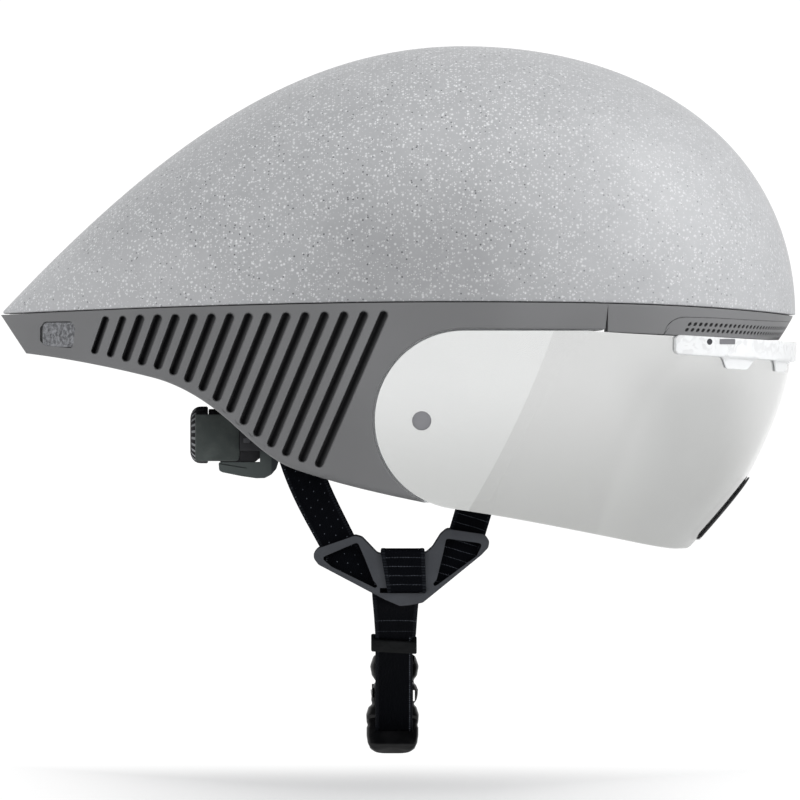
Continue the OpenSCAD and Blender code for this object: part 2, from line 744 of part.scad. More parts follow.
// Chin straps and buckle. The buckle lies along the left leg, with the male half below
buckle_x = -62.3;
buckle_low = [buckle_x, -2.8, -192.8];
buckle_turn = 45;
male_slot_y = 11;
slot_l = 3;
function on_buckle(y, z = 0) = buckle_low
    + [0, y * cos(buckle_turn) - z * sin(buckle_turn), y * sin(buckle_turn) + z * cos(buckle_turn)];
module at_buckle() {
    translate(buckle_low) rotate([buckle_turn, 0, 0]) children();
}

leg_x = -60.8;
leg_top = [leg_x, loop_in_y - seat - web_t, loop_low_z + 6];
leg_bend = [leg_x, loop_in_y - seat - web_t - 0.5, -121];
right_top = [leg_top[0], -leg_top[1], leg_top[2]];
right_bend = [leg_bend[0], -leg_bend[1], leg_bend[2]];
// A point of the buckle's frame, in the plane of the chin straps
function on_strap(y, z = 0) = [leg_x, on_buckle(y, z)[1], on_buckle(y, z)[2]];
right_low = on_strap(male_slot_y, buckle_h / 2 + 0.6);
chin_layers = 2;
function along_right(t) = mix(right_bend, right_low, t);
leg_seen = norm(right_low - right_bend);
chin_end = 27 / leg_seen;
keeper_l = 8.4;

module chin_strap_right() {
    color([0.07, 0.07, 0.08])
    ribbon([right_top, right_bend, along_right(chin_end)], [1, 0, 0],
        chin_w, web_t * chin_layers);
}

module chin_strap_left() {
    female_end = on_strap(male_l + female_l + 1);
    color([0.07, 0.07, 0.08]) {
        ribbon([leg_top, leg_bend, female_end], [1, 0, 0], tongue_w, web_t);
        at_buckle() translate([-tongue_w / 2 + leg_x - buckle_x, male_l + female_l, 0])
            rotate([90, 0, 90]) linear_extrude(height = tongue_w) difference() {
                translate([-female_bar - seat - web_t, -bar_h / 2 - seat - web_t])
                    square([female_bar + 2 * (seat + web_t), bar_h + 2 * (seat + web_t)]);
                translate([-female_bar - seat, -bar_h / 2 - seat])
                    square([female_bar + 2 * seat, bar_h + 2 * seat]);
            }
    }
}
female_bar = 4;
bar_h = 4.6;

// The strap to the buckle's male half runs on from the looped chin strap
module buckle_strap() {
    color([0.07, 0.07, 0.08]) {
        ribbon([along_right(chin_end), right_low, on_strap(male_slot_y, -male_h / 2 - 1)],
            [1, 0, 0], tongue_w, web_t);
        at_buckle()
            translate([leg_x - buckle_x - tongue_w / 2, male_slot_y - 2.4,
                -male_h / 2 - seat - 2.6]) cube([tongue_w, 4.8, 2.6]);
    }
}

module keeper() {
    gap = 0.3;
    wall = 1.2;
    lean = atan2(right_low[2] - right_bend[2], right_low[1] - right_bend[1]);
    color([0.16, 0.17, 0.19])
    translate(along_right(chin_end + 1 / leg_seen)) rotate([lean, 0, 0])
    translate([0, keeper_l / 2, 0]) difference() {
        cube([tongue_w + 4.6, keeper_l, web_t + 2 * gap + 2 * wall], center = true);
        cube([tongue_w + 2 * gap, keeper_l + 2, web_t + 2 * gap], center = true);
    }
}

arm_l = 25;
arm_w = 3.2;
arm_x = 6.6;
arm_thick = 3.6;
male_h = 6.4;
guide_w = 3.6;
socket_w = 20;
socket_h = 5;
module rounded_block(y0, l, h) {
    r = 2;
    translate([0, y0, -h / 2]) linear_extrude(height = h) union() {
        translate([-buckle_w / 2 + r, 0]) square([buckle_w - 2 * r, l]);
        translate([-buckle_w / 2, r]) square([buckle_w, l - 2 * r]);
        for (x = [-1, 1], y = [r, l - r])
            translate([x * (buckle_w / 2 - r), y]) circle(r = r);
    }
}

module buckle_male() {
    color([0.05, 0.05, 0.06]) at_buckle() difference() {
        union() {
            rounded_block(0, male_l, male_h);
            translate([-guide_w / 2, 0, -1.6]) cube([guide_w, male_l + arm_l, 3.2]);
        }
        translate([-tongue_w / 2 - 0.6 + leg_x - buckle_x, male_slot_y - slot_l / 2, -10])
            cube([tongue_w + 1.2, slot_l, 20]);
        for (x = [-1, 1])
            translate([x * arm_x, male_l, -5]) cylinder(h = 10, r = arm_w / 2 + 0.2);
    }
}

module buckle_arm(side) {
    pad_w = socket_w / 2 - seat - arm_x + arm_w / 2;
    color([0.05, 0.05, 0.06]) at_buckle() translate([side * arm_x, male_l, -arm_thick / 2]) {
        cylinder(h = arm_thick, r = arm_w / 2);
        translate([-arm_w / 2, 0, 0]) cube([arm_w, arm_l - 3, arm_thick]);
        translate([side > 0 ? -arm_w / 2 : arm_w / 2 - pad_w, arm_l - 12, 0])
            cube([pad_w, 11, arm_thick]);
    }
}

module buckle_arm_front() {
    buckle_arm(1);
}

module buckle_arm_rear() {
    buckle_arm(-1);
}

module buckle_female() {
    y0 = male_l + seat;
    l = female_l - seat;
    color([0.05, 0.05, 0.06]) at_buckle() difference() {
        rounded_block(y0, l, buckle_h);
        translate([-socket_w / 2, y0 - 1, -socket_h / 2]) cube([socket_w, 28.5, socket_h]);
        for (x = [-1, 1])
            translate([x * (buckle_w / 2 + 1) - 2.5, y0 + 9, -socket_h / 2])
                cube([5, 14, socket_h]);
        translate([-tongue_w / 2 - 0.8 + leg_x - buckle_x, male_l + female_l - female_bar - 4, -10])
            cube([tongue_w + 1.6, 4, 20]);
        for (z = [bar_h / 2, -bar_h / 2 - 10])
            translate([-tongue_w / 2 - 0.8 + leg_x - buckle_x, male_l + female_l - female_bar - 1, z])
                cube([tongue_w + 1.6, 10, 10]);
    }
}

// Fit system
fit_pin_x = -32;
fit_pin_z = 2;
fit_pin_y = side_y(fit_pin_x, fit_pin_z) - panel_t;
arm_y = half_w - 20;
arm_h = 9;
arm_t = 1.6;
fit_pin_head_r = 4.4;
pin_head_t = 1.8;
hub_t = 3.2;
hub_r = 7;
socket_y = arm_y - 30;
dial_z = -44.6;
cradle_x = -113;
arm_end_x = cradle_x - 15;
sleeve_l = 20.8;
cradle_bar_x = cradle_x - sleeve_l;
module at_fit_pin() {
    translate([fit_pin_x, fit_pin_y - 0.2, fit_pin_z]) rotate([-90, 0, 0]) children();
}

module fit_pins() {
    color([0.14, 0.14, 0.15]) both_sides() {
        translate([fit_pin_x, arm_y - hub_t / 2 - seat - pin_head_t, fit_pin_z])
        rotate([-90, 0, 0]) {
            cylinder(h = fit_pin_y + 1.8 - arm_y + hub_t / 2 + seat + pin_head_t, r = pin_r);
            cylinder(h = pin_head_t, r = fit_pin_head_r);
        }
        translate([fit_pin_x, arm_y + hub_t / 2 + seat, fit_pin_z]) rotate([-90, 0, 0])
            cylinder(h = fit_pin_y - arm_y - hub_t / 2 - 2 * seat, r = fit_pin_head_r);
    }
}

arm_level_x = cradle_x + fit_travel + 2;
function arm_z(x) = let (s = clamp01((fit_pin_x - x) / (fit_pin_x - arm_level_x)))
    mix(fit_pin_z, dial_z, 0.5 * (smooth(s) + s));
arm_path = [
    [fit_pin_x, arm_y], [-46, arm_y - 1.4], [-58, arm_y - 5.2], [-68, arm_y - 11],
    [-77, arm_y - 18], [-84, arm_y - 24], [-90, arm_y - 28], [arm_level_x, socket_y],
    [arm_end_x, socket_y]
];
module fit_arm() {
    n = len(arm_path) - 1;
    difference() {
        union() {
            slab(
                [for (i = [0:n]) [for (v = [-0.5, 0.5]) arm_point(i, v, 0.5)]],
                [for (i = [0:n]) [for (v = [-0.5, 0.5]) arm_point(i, v, -0.5)]]);
            translate([fit_pin_x, arm_y - hub_t / 2, fit_pin_z]) rotate([-90, 0, 0])
                cylinder(h = hub_t, r = hub_r);
        }
        translate([fit_pin_x, arm_y - 10, fit_pin_z]) rotate([-90, 0, 0])
            cylinder(h = 20, r = pin_r + pin_gap);
    }
}
function arm_point(i, v, side) = let (
    p = arm_path[i], a = arm_path[max(i - 1, 0)], b = arm_path[min(i + 1, len(arm_path) - 1)],
    d = (b - a) / norm(b - a))
    [p[0] + d[1] * arm_t * side, p[1] - d[0] * arm_t * side, arm_z(p[0]) + v * arm_h];

module fit_arm_right() {
    color([0.13, 0.14, 0.15]) mirrored() fit_arm();
}

module fit_arm_left() {
    color([0.13, 0.14, 0.15]) fit_arm();
}

// The cradle carries the dial, slides on the arms and rests on the back of the head
module cradle() {
    color([0.2, 0.22, 0.21]) {
        both_sides() {
            difference() {
                translate([cradle_x - sleeve_l, socket_y - 3, dial_z - 7.5])
                    cube([sleeve_l, 6, 15]);
                translate([cradle_x - 36, socket_y - arm_t / 2 - 0.3, dial_z - arm_h / 2 - 0.3])
                    cube([40, arm_t + 0.6, arm_h + 0.6]);
            }
            cradle_hook();
        }
        translate([cradle_bar_x, -socket_y + 3, dial_z - 7.5])
            cube([3, 2 * socket_y - 6, 15]);
    }
}

// A lower bracket of the cradle: a column under each sleeve and a bar to the rear
hook_y = socket_y - 13;
hook_w = 11;
module cradle_hook() {
    translate([cradle_x, hook_y + hook_w, dial_z]) rotate([90, 0, 0])
    linear_extrude(height = hook_w) difference() {
        polygon([
            [-30.8, -12.8], [-30.5, -16.7], [-28.9, -17.5], [-20, -19.3], [-13, -20.3],
            [-9.1, -20.2], [-6.3, -18.7], [-4, -16], [-3, -12.7], [-3, 0.6], [-20.5, 0.6],
            [-20.5, -12.6]]);
        polygon([[-13.9, -12.7], [-11.4, -12.7], [-11.4, -10.7]]);
    }
}

dial_rear_x = cradle_x - 44.3;
housing_front_x = cradle_bar_x - seat;
housing_rear_x = dial_rear_x + dial_w + seat;
guard_rear_x = dial_rear_x + 2.4;
guard_h = 22.1;
guard_drop = 1.3;
module dial_housing() {
    color([0.16, 0.18, 0.17]) difference() {
        union() {
            translate([housing_rear_x, 0, dial_z]) rotate([0, 90, 0])
                cylinder(h = housing_front_x - housing_rear_x, r = dial_r - 1);
            both_sides()
            translate([guard_rear_x, dial_r + 0.8, dial_z - guard_drop - guard_h / 2])
                cube([housing_front_x - guard_rear_x, 3, guard_h]);
            both_sides() translate([housing_rear_x, 0, dial_z - 9])
                cube([housing_front_x - housing_rear_x, dial_r + 1, 18]);
        }
        translate([housing_rear_x - 4, 0, dial_z]) rotate([0, 90, 0])
            cylinder(h = 40, r = shaft_r + pin_gap);
    }
}

shaft_r = 3;
shaft_end_x = housing_front_x - 0.1;
module dial_knob() {
    color([0.12, 0.12, 0.13]) translate([dial_rear_x, 0, dial_z]) rotate([0, 90, 0])
    difference() {
        cylinder(h = dial_w, r = dial_r);
        for (k = [0:dial_flutes - 1])
            rotate([0, 0, k * 360 / dial_flutes]) translate([dial_r + 0.5, 0, -1])
                cylinder(h = dial_w + 2, r = 1.1, $fn = 24);
        translate([0, 0, -1]) cylinder(h = 2.4, r = dial_r - 3.4);
        translate([0, 0, -1]) cylinder(h = dial_w + 2, r = 2.2);
    }
}

module dial_shaft() {
    color([0.3, 0.3, 0.31]) translate([0, 0, dial_z]) rotate([0, 90, 0]) {
        translate([0, 0, dial_rear_x + 1.5]) cylinder(h = dial_w - 1.5, r = 2.2);
        translate([0, 0, dial_rear_x + dial_w])
            cylinder(h = shaft_end_x - dial_rear_x - dial_w, r = shaft_r);
    }
}

// Soft pads on the front of the cradle
module occipital_pad() {
    n = 8;
    m = 6;
    slab(
        [for (i = [0:n]) [for (j = [0:m]) occipital_point(i / n, j / m, 1)]],
        [for (i = [0:n]) [for (j = [0:m]) occipital_point(i / n, j / m, 0)]]);
}
function occipital_point(s, v, side) = let (
    y = mix(5, socket_y - 14.5, s), z = dial_z + mix(-7, 7, v),
    x = cradle_bar_x + 3 + seat)
    [side == 0 ? x : x + pad_t(s, v, 7), y, z];

module occipital_pad_right() {
    color([0.1, 0.1, 0.11]) mirrored() occipital_pad();
}

module occipital_pad_left() {
    color([0.1, 0.1, 0.11]) occipital_pad();
}

top_shell();
foam_liner();
side_panel_right();
side_panel_left();
brow_band();
brow_vent_grille();
tail_badge_right();
tail_badge_left();
vent_baffle_right();
vent_baffle_left();
brow_magnets();
side_magnets();
brow_pad();
crown_pad();
side_pad_right();
side_pad_left();
strap_anchors();
rear_strap_right();
rear_strap_left();
front_strap_right();
front_strap_left();
divider_right();
divider_left();
strap_loop_right();
strap_loop_left();
chin_strap_right();
chin_strap_left();
keeper();
buckle_strap();
buckle_female();
buckle_male();
buckle_arm_front();
buckle_arm_rear();
visor_lens();
visor_bridge();
visor_magnets();
nose_seal();
bridge_screws();
fit_pins();
fit_arm_right();
fit_arm_left();
cradle();
dial_housing();
dial_knob();
dial_shaft();
occipital_pad_right();
occipital_pad_left();
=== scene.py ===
# Looks of a long-tailed time-trial helmet: speckled shell, slotted body, mirror lens, straps and fit dial.
# Shapes are worked out in millimetres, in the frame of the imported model, and turned into metres
# where a mesh is made.
import json
import math
from contextlib import contextmanager

import bmesh
import bpy
from mathutils import Matrix, Vector
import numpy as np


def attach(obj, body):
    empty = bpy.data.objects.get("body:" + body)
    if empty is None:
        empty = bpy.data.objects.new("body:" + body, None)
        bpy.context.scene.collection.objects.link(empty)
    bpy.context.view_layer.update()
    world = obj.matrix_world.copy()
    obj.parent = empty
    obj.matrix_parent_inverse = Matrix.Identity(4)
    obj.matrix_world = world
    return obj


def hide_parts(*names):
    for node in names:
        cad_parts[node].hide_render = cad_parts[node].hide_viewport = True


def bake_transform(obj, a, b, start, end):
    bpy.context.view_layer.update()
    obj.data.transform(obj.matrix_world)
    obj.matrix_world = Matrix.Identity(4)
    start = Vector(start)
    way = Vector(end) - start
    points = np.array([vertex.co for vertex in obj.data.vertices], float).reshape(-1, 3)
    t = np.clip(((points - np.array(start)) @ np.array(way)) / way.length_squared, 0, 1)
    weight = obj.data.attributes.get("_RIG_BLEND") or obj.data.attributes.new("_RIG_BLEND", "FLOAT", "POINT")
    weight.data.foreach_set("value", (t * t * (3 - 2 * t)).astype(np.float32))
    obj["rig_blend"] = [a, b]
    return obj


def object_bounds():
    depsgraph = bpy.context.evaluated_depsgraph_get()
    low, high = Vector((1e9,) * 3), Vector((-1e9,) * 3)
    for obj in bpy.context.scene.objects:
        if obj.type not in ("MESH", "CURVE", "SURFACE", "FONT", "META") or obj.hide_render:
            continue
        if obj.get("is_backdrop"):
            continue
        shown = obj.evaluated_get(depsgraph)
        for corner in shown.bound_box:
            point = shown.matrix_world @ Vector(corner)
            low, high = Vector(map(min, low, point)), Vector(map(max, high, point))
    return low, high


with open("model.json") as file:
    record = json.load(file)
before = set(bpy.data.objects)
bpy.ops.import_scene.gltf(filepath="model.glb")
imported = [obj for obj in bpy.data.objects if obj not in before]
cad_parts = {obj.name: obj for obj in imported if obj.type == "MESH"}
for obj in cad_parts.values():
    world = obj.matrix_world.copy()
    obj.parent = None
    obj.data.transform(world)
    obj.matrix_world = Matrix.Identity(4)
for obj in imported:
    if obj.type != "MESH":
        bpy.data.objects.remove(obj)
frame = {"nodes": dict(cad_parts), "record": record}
cad_low, cad_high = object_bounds()
MM = 0.001
scene = bpy.context.scene
scene.view_settings.view_transform = "Standard"

# Shell and body, in mm
HALF_W = 98
NOSE_X = 127
TAIL_X = -246
CROWN_Z = 138.1
SHELL_T = 2.6
SHELL_RIM = 0.15
FRONT_X = 20
FRONT_N = 2.3
REAR_X = -45
DOME_N = 2.15
PANEL_T = 7
SEAT = 0.3
# Head cavity: its half length, half width and height, and the level that it rises from
CAVITY_N = 2.4
CAVITY = (104, 78, 95)
CAVITY_Z = 17
# Lens
LENS_T = 2
LENS_GAP = 0.8
LENS_INSET = 1.6
LENS_R = 41.8
LENS_X = -28.7
LENS_Z = -37.6
LENS_TOP_Z = 4.2
LENS_SLOPE = -0.142
LENS_LEAN = 0.083
HOLE_X = -48.6
HOLE_Z = -37.9
HOLE_R = 4.5
# Straps
STRAP_W = 17
CHIN_W = 20.7
TONGUE_W = 16
WEB_T = 1.4


def mix(a, b, t):
    return a + (b - a) * t


def on_way(a, b, t):
    """The (x, z) point at share t of the way from a to b."""
    return (mix(a[0], b[0], t), mix(a[1], b[1], t))


def clamp01(t):
    return min(max(t, 0.0), 1.0)


def smooth(t):
    c = clamp01(t)
    return c * c * (3 - 2 * c)


def signed_pow(v, p):
    return math.copysign(abs(v) ** p, v)


def bezier(p, t):
    s = 1 - t
    w = (s * s * s, 3 * s * s * t, 3 * s * t * t, t * t * t)
    return [sum(w[k] * p[k][i] for k in range(4)) for i in range(2)]


def curve(knots, x):
    """A curve through knots (x, height, slope)."""
    i = 0
    while i < len(knots) - 2 and x > knots[i + 1][0]:
        i += 1
    h = knots[i + 1][0] - knots[i][0]
    s = (x - knots[i][0]) / h
    a = s * s * (3 - 2 * s)
    bend = h * s * (1 - s) * ((1 - s) * knots[i][2] - s * knots[i + 1][2])
    return mix(knots[i][1], knots[i + 1][1], a) + bend


def parting_z(x):
    """Height of the line where the shell meets the lower body."""
    if x < -40:
        return 17.7 - 5.6 * ((-40 - x) / 205) ** 1.7
    return 17.7 - 6.2 * ((x + 40) / 167) ** 3


def plan_w(x):
    """Half width of the body in plan."""
    if x < REAR_X:
        return HALF_W * max(1 - ((REAR_X - x) / (REAR_X - TAIL_X)) ** 1.9, 0) ** 0.7
    if x < FRONT_X:
        return HALF_W
    return HALF_W * max(1 - ((x - FRONT_X) / (NOSE_X - FRONT_X)) ** FRONT_N, 0) ** (1 / FRONT_N)


def side_y(x, z):
    """Half width of the lower body, which draws in below the parting line."""
    return max(plan_w(x) - 10 * (max(parting_z(x) - z, 0) / 115) ** 1.3, 0.8)


CROWN_TOP_X = -29.2
REAR_CROWN = [(TAIL_X, 12.6), (-173.1, 90), (-107.9, CROWN_Z), (CROWN_TOP_X, CROWN_Z)]
FRONT_CROWN = [(CROWN_TOP_X, CROWN_Z), (61.5, CROWN_Z), (NOSE_X, 88.6), (NOSE_X, 11.4)]


def crown(q):
    """The crown seen from the side, from the tail at 0 to the brow at 1."""
    if q < 0.5:
        return bezier(REAR_CROWN, mix(0.004, 1, (2 * q) ** 1.5))
    return bezier(FRONT_CROWN, min(2 * q - 1, 0.998))


def draw_in(v, d):
    return max(v - d, 0.4 * v)


def dome(q, a, d, rim):
    """A point of the dome, drawn in by d: a runs from 0 on the right to pi on the left."""
    c = crown(q)
    mid = (NOSE_X + TAIL_X) / 2
    half = (NOSE_X - TAIL_X) / 2
    z0 = parting_z(c[0]) + rim
    w = draw_in(plan_w(c[0]), d)
    h = draw_in(max(c[1] - z0, 0.8), d)
    up = max(math.sin(a), 0) ** (2 / DOME_N)
    return (mid + (c[0] - mid) * (half - d) / half, -w * signed_pow(math.cos(a), 2 / DOME_N), z0 + h * up)


def cavity_k(t):
    return max(1 - abs(t) ** CAVITY_N, 0) ** (1 / CAVITY_N)


def cavity(q, a, d):
    """A point of the head cavity by station and angle, drawn in by d."""
    t = -math.cos(math.radians(mix(0.8, 179.2, q)))
    k = cavity_k(t)
    up = max(math.sin(a), 0) ** (2 / CAVITY_N)
    across = signed_pow(math.cos(a), 2 / CAVITY_N)
    return ((CAVITY[0] - d) * t, -(CAVITY[1] - d) * k * across, CAVITY_Z + (CAVITY[2] - d) * k * up)


def cavity_ring(f, z, d):
    """A point of the head cavity at height z, drawn in by d."""
    k = cavity_k((z - CAVITY_Z) / (CAVITY[2] - d))
    ahead = signed_pow(math.sin(f), 2 / CAVITY_N)
    across = signed_pow(math.cos(f), 2 / CAVITY_N)
    return ((CAVITY[0] - d) * k * ahead, -(CAVITY[1] - d) * k * across, z)


# Finishes


class Value:
    """A value that changes over a surface. Sums and products of values become nodes."""

    def __init__(self, finish, socket):
        self.finish = finish
        self.socket = socket

    def math(self, operation, *values):
        inputs = dict(enumerate(values))
        return self.finish.node("ShaderNodeMath", {"operation": operation}, inputs)

    def __add__(self, other):
        return self.math("ADD", self, other)

    def __sub__(self, other):
        return self.math("SUBTRACT", self, other)

    def __rsub__(self, other):
        return self.math("SUBTRACT", other, self)

    def __mul__(self, other):
        return self.math("MULTIPLY", self, other)

    def __gt__(self, other):
        return self.math("GREATER_THAN", self, other)

    def __abs__(self):
        return self.math("ABSOLUTE", self)

    def sine(self):
        return self.math("SINE", self)

    def greater(self, other):
        return self.math("MAXIMUM", self, other)

    def wrapped(self, period):
        """The place within a repeat of that period, from 0 to the period."""
        return self.math("FLOORED_MODULO", self, period)

    def step(self, low, high):
        """A soft step: 0 below low and 1 above high, or the reverse where low is above high."""
        ramp = {"interpolation_type": "SMOOTHSTEP"}
        if low < high:
            return self.finish.node("ShaderNodeMapRange", ramp, {0: self, 1: low, 2: high})
        return self.finish.node("ShaderNodeMapRange", ramp, {0: self, 1: high, 2: low, 3: 1.0, 4: 0.0})

    __radd__ = __add__
    __rmul__ = __mul__


class Nodes:
    """The nodes of a material or of the world."""

    def __init__(self, tree):
        self.tree = tree

    def node(self, kind, settings, inputs, output=0):
        made = self.tree.nodes.new(kind)
        for key, value in settings.items():
            setattr(made, key, value)
        for key, value in inputs.items():
            if isinstance(value, Value):
                self.tree.links.new(value.socket, made.inputs[key])
            else:
                made.inputs[key].default_value = value
        return Value(self, made.outputs[output])

    def seen(self):
        """1 where the camera, a reflection or a view through clear plastic sees the background."""
        rays = [self.node("ShaderNodeLightPath", {}, {}, name)
                for name in ("Is Camera Ray", "Is Glossy Ray", "Is Transmission Ray")]
        return rays[0].greater(rays[1]).greater(rays[2])

    def shown(self, factor, first, second, end):
        """Ends a tree with a mix of two shaders."""
        mixed = self.node("ShaderNodeMixShader", {}, {0: factor, 1: first, 2: second})
        self.tree.links.new(mixed.socket, self.tree.nodes[end].inputs[0])


class Finish(Nodes):
    """A material. Constants go on the shader's own sockets; what varies is linked to a few of them."""

    def __init__(self, name, color, roughness, **constants):
        self.material = bpy.data.materials.new(name)
        self.material.use_nodes = True
        super().__init__(self.material.node_tree)
        self.shader = self.tree.nodes["Principled BSDF"]
        self.shader.inputs["Base Color"].default_value = (*color, 1)
        self.shader.inputs["Roughness"].default_value = roughness
        for words, value in constants.items():
            self.shader.inputs[words.replace("_", " ").title().replace("Ior", "IOR")].default_value = value
        self.place = self.node("ShaderNodeTexCoord", {}, {}, "Object")

    def axis(self, index):
        """The place along X, Y or Z, in mm."""
        return self.node("ShaderNodeSeparateXYZ", {}, {0: self.place}, index) * 1000

    def attribute(self, name):
        return self.node("ShaderNodeAttribute", {"attribute_name": name}, {}, "Fac")

    def noise(self, size, detail=2.0, rough=0.5):
        """Soft noise with features of about that many mm."""
        inputs = {"Vector": self.place, "Scale": 1000 / size, "Detail": detail, "Roughness": rough}
        return self.node("ShaderNodeTexNoise", {}, inputs, "Fac")

    def cells(self, size):
        """Distance from the middle of the nearest cell; the cells are about that many mm apart."""
        inputs = {"Vector": self.place, "Scale": 1000 / size}
        return self.node("ShaderNodeTexVoronoi", {}, inputs, "Distance")

    def cell_share(self, size):
        """One random number for each cell."""
        inputs = {"Vector": self.place, "Scale": 1000 / size}
        color = self.node("ShaderNodeTexVoronoi", {}, inputs, "Color")
        return self.node("ShaderNodeSeparateColor", {}, {0: color})

    def blend(self, factor, a, b):
        a = a if isinstance(a, Value) else (*a, 1)
        b = b if isinstance(b, Value) else (*b, 1)
        inputs = {0: factor, 6: a, 7: b}
        return self.node("ShaderNodeMix", {"data_type": "RGBA"}, inputs, 2)

    def wear(self, color, worn):
        """Two colours in soft patches, as on handled plastic."""
        return self.blend(self.noise(9, 3, 0.6).step(0.35, 0.8), color, worn)

    def link(self, socket, value):
        self.tree.links.new(value.socket, self.shader.inputs[socket])

    def bump(self, height, depth, strength=1.0):
        """Relief: height times depth, in mm."""
        inputs = {"Strength": strength, "Distance": depth * MM, "Height": height}
        self.link("Normal", self.node("ShaderNodeBump", {}, inputs))


def speckled_shell():
    """Light grey moulding with pale flecks, a few dark specks and a satin surface; painted shade low on the
    sides and painted light towards the tail.
    """
    f = Finish("speckled_shell", (0.5, 0.505, 0.515), 0.42, specular_ior_level=0.5)
    fleck = f.cells(1.9).step(0.45, 0.12) * f.cell_share(1.9).step(0.35, 0.55)
    small = f.cells(1.0).step(0.42, 0.1) * f.cell_share(1.0).step(0.5, 0.7)
    speck = f.cells(2.3).step(0.26, 0.1) * f.cell_share(2.3).step(0.66, 0.74)
    cloud = f.noise(14, 3, 0.6).step(0.3, 0.7)
    base = f.blend(cloud, (0.402, 0.407, 0.417), (0.433, 0.438, 0.448))
    x, z = f.axis(0), f.axis(2)
    strength = 1 - x.step(-30, 50) * 0.45
    base = f.blend(fleck * strength, base, (0.7, 0.705, 0.715))
    base = f.blend(small * strength, base, (0.8, 0.805, 0.815))
    base = f.blend(speck * strength, base, (0.11, 0.113, 0.12))
    # Painted shade: a soft darker zone low on the sides; painted light: a paler zone towards the tail
    painted_belly_shade = abs(x + 50).step(75, 15) * z.step(100, 40)
    base = f.blend(painted_belly_shade * 0.21, base, (0.0, 0.0, 0.0))
    base = f.blend(x.step(-120, -170) * z.step(60, 25) * 0.12, base, (0.9, 0.9, 0.91))
    f.link("Base Color", base)
    f.link("Roughness", 0.4 + f.noise(5) * 0.12)
    f.bump(f.noise(0.9, 2) + fleck * 0.5 - speck, 0.05, 0.5)
    return f.material


def grey_body():
    """Mid grey satin moulding with painted shade down in the slots and the grille's holes, pale in the lens
    pocket.
    """
    f = Finish("grey_body", (0.23, 0.232, 0.236), 0.46, specular_ior_level=0.25)
    base = f.blend(f.noise(60, 2).step(0.3, 0.7), (0.172, 0.173, 0.176), (0.194, 0.195, 0.199))
    base = f.blend(f.attribute("pocket").step(0.3, 0.7), base, (0.72, 0.73, 0.74))
    # Painted shade in the slots, the grille's holes and along the grille's top edge
    f.link("Base Color", f.blend(f.attribute("painted_shade").step(0.16, 0.9), base, (0.006, 0.006, 0.007)))
    f.link("Roughness", 0.42 + f.noise(3) * 0.1)
    f.bump(f.noise(0.55, 2), 0.03, 0.35)
    return f.material


BEAD = 3.4


def bead_foam():
    """Dark expanded foam: packed beads, each a little different."""
    f = Finish("bead_foam", (0.03, 0.03, 0.033), 0.75)
    seam = f.node("ShaderNodeTexVoronoi", {"feature": "DISTANCE_TO_EDGE"},
                  {"Vector": f.place, "Scale": 1000 / BEAD}, "Distance")
    tone = f.cell_share(BEAD)
    base = f.blend(tone, (0.022, 0.022, 0.024), (0.05, 0.051, 0.056))
    f.link("Base Color", f.blend(seam.step(0.08, 0.0), base, (0.01, 0.01, 0.011)))
    f.bump(seam.step(0.0, 0.25), 0.3, 0.8)
    return f.material


def cast_plate():
    """A dark grained plate, like hammered casting."""
    f = Finish("cast_plate", (0.12, 0.12, 0.13), 0.5)
    grain = f.noise(1.6, 3, 0.65)
    f.link("Base Color", f.blend(grain.step(0.35, 0.65), (0.07, 0.072, 0.078), (0.27, 0.275, 0.29)))
    f.link("Roughness", 0.35 + f.noise(2.5) * 0.35)
    f.bump(grain, 0.5, 0.9)
    return f.material


def moulded(name, color, roughness, grain=0.8, depth=0.04, shine=0.15):
    """Moulded plastic or rubber with a fine grain and slight wear."""
    f = Finish(name, color, roughness, specular_ior_level=shine)
    worn = tuple(min(c * 1.35 + 0.006, 1) for c in color)
    f.link("Base Color", f.wear(color, worn))
    f.link("Roughness", roughness - 0.06 + f.noise(4) * 0.14)
    f.bump(f.noise(grain, 2), depth, 0.5)
    return f.material


def nickel():
    """Dull nickel plate on the magnets."""
    f = Finish("nickel_plate", (0.26, 0.26, 0.275), 0.3, metallic=1.0)
    f.link("Roughness", 0.24 + f.noise(1.5, 3) * 0.2)
    f.bump(f.noise(0.6, 2), 0.01, 0.4)
    return f.material


def black_mesh():
    """A black moulded mesh with small square holes."""
    f = Finish("black_mesh", (0.02, 0.02, 0.022), 0.6)
    pitch = 2.4
    along = abs(f.axis(0).wrapped(pitch) - pitch / 2)
    up = abs(f.axis(2).wrapped(pitch) - pitch / 2)
    web = ((along > 0.85) + (up > 0.85)).step(0.2, 0.8)
    f.link("Base Color", f.blend(web, (0.004, 0.004, 0.005), (0.03, 0.031, 0.034)))
    f.bump(web, 0.6, 0.9)
    return f.material


def mirror_lens():
    """Silver mirror coat over grey, with painted shade and a painted see-through zone in its colour; it lets
    a little light through.
    """
    f = Finish("mirror_lens", (0.82, 0.83, 0.85), 0.07, metallic=1.0, coat_weight=0.3, coat_roughness=0.02)
    x, z = f.axis(0), f.axis(2)
    # Painted shade: the lens is darker low down and over the front right
    low = z.step(-8, -95)
    tint_with_painted_light = f.blend(low, (0.83, 0.835, 0.83), (0.55, 0.555, 0.545))
    right = x.step(35, 72) * x.step(116, 88) * z.step(4, -30)
    tint_with_painted_light = f.blend(right * 0.55, tint_with_painted_light, (0.5, 0.505, 0.5))
    # Painted see-through: a pale zone behind the front edge of the side panel stands in for the pale pocket
    # of the body seen through the lens
    panel_edge = 11.6 + z * 0.36 - z * z * 0.0015
    pale = f.blend(z.step(-15, -80), (0.93, 0.94, 0.935), (0.7, 0.71, 0.7))
    tint_with_painted_light = f.blend((x - panel_edge).step(0.5, -0.5) * 0.85, tint_with_painted_light, pale)
    f.link("Base Color", f.blend(f.noise(45, 2).step(0.3, 0.7) * 0.08, tint_with_painted_light, (0.76, 0.77, 0.78)))
    f.link("Alpha", 0.77 + f.noise(80) * 0.02)
    f.bump(f.noise(30, 1), 0.01, 0.3)
    return f.material


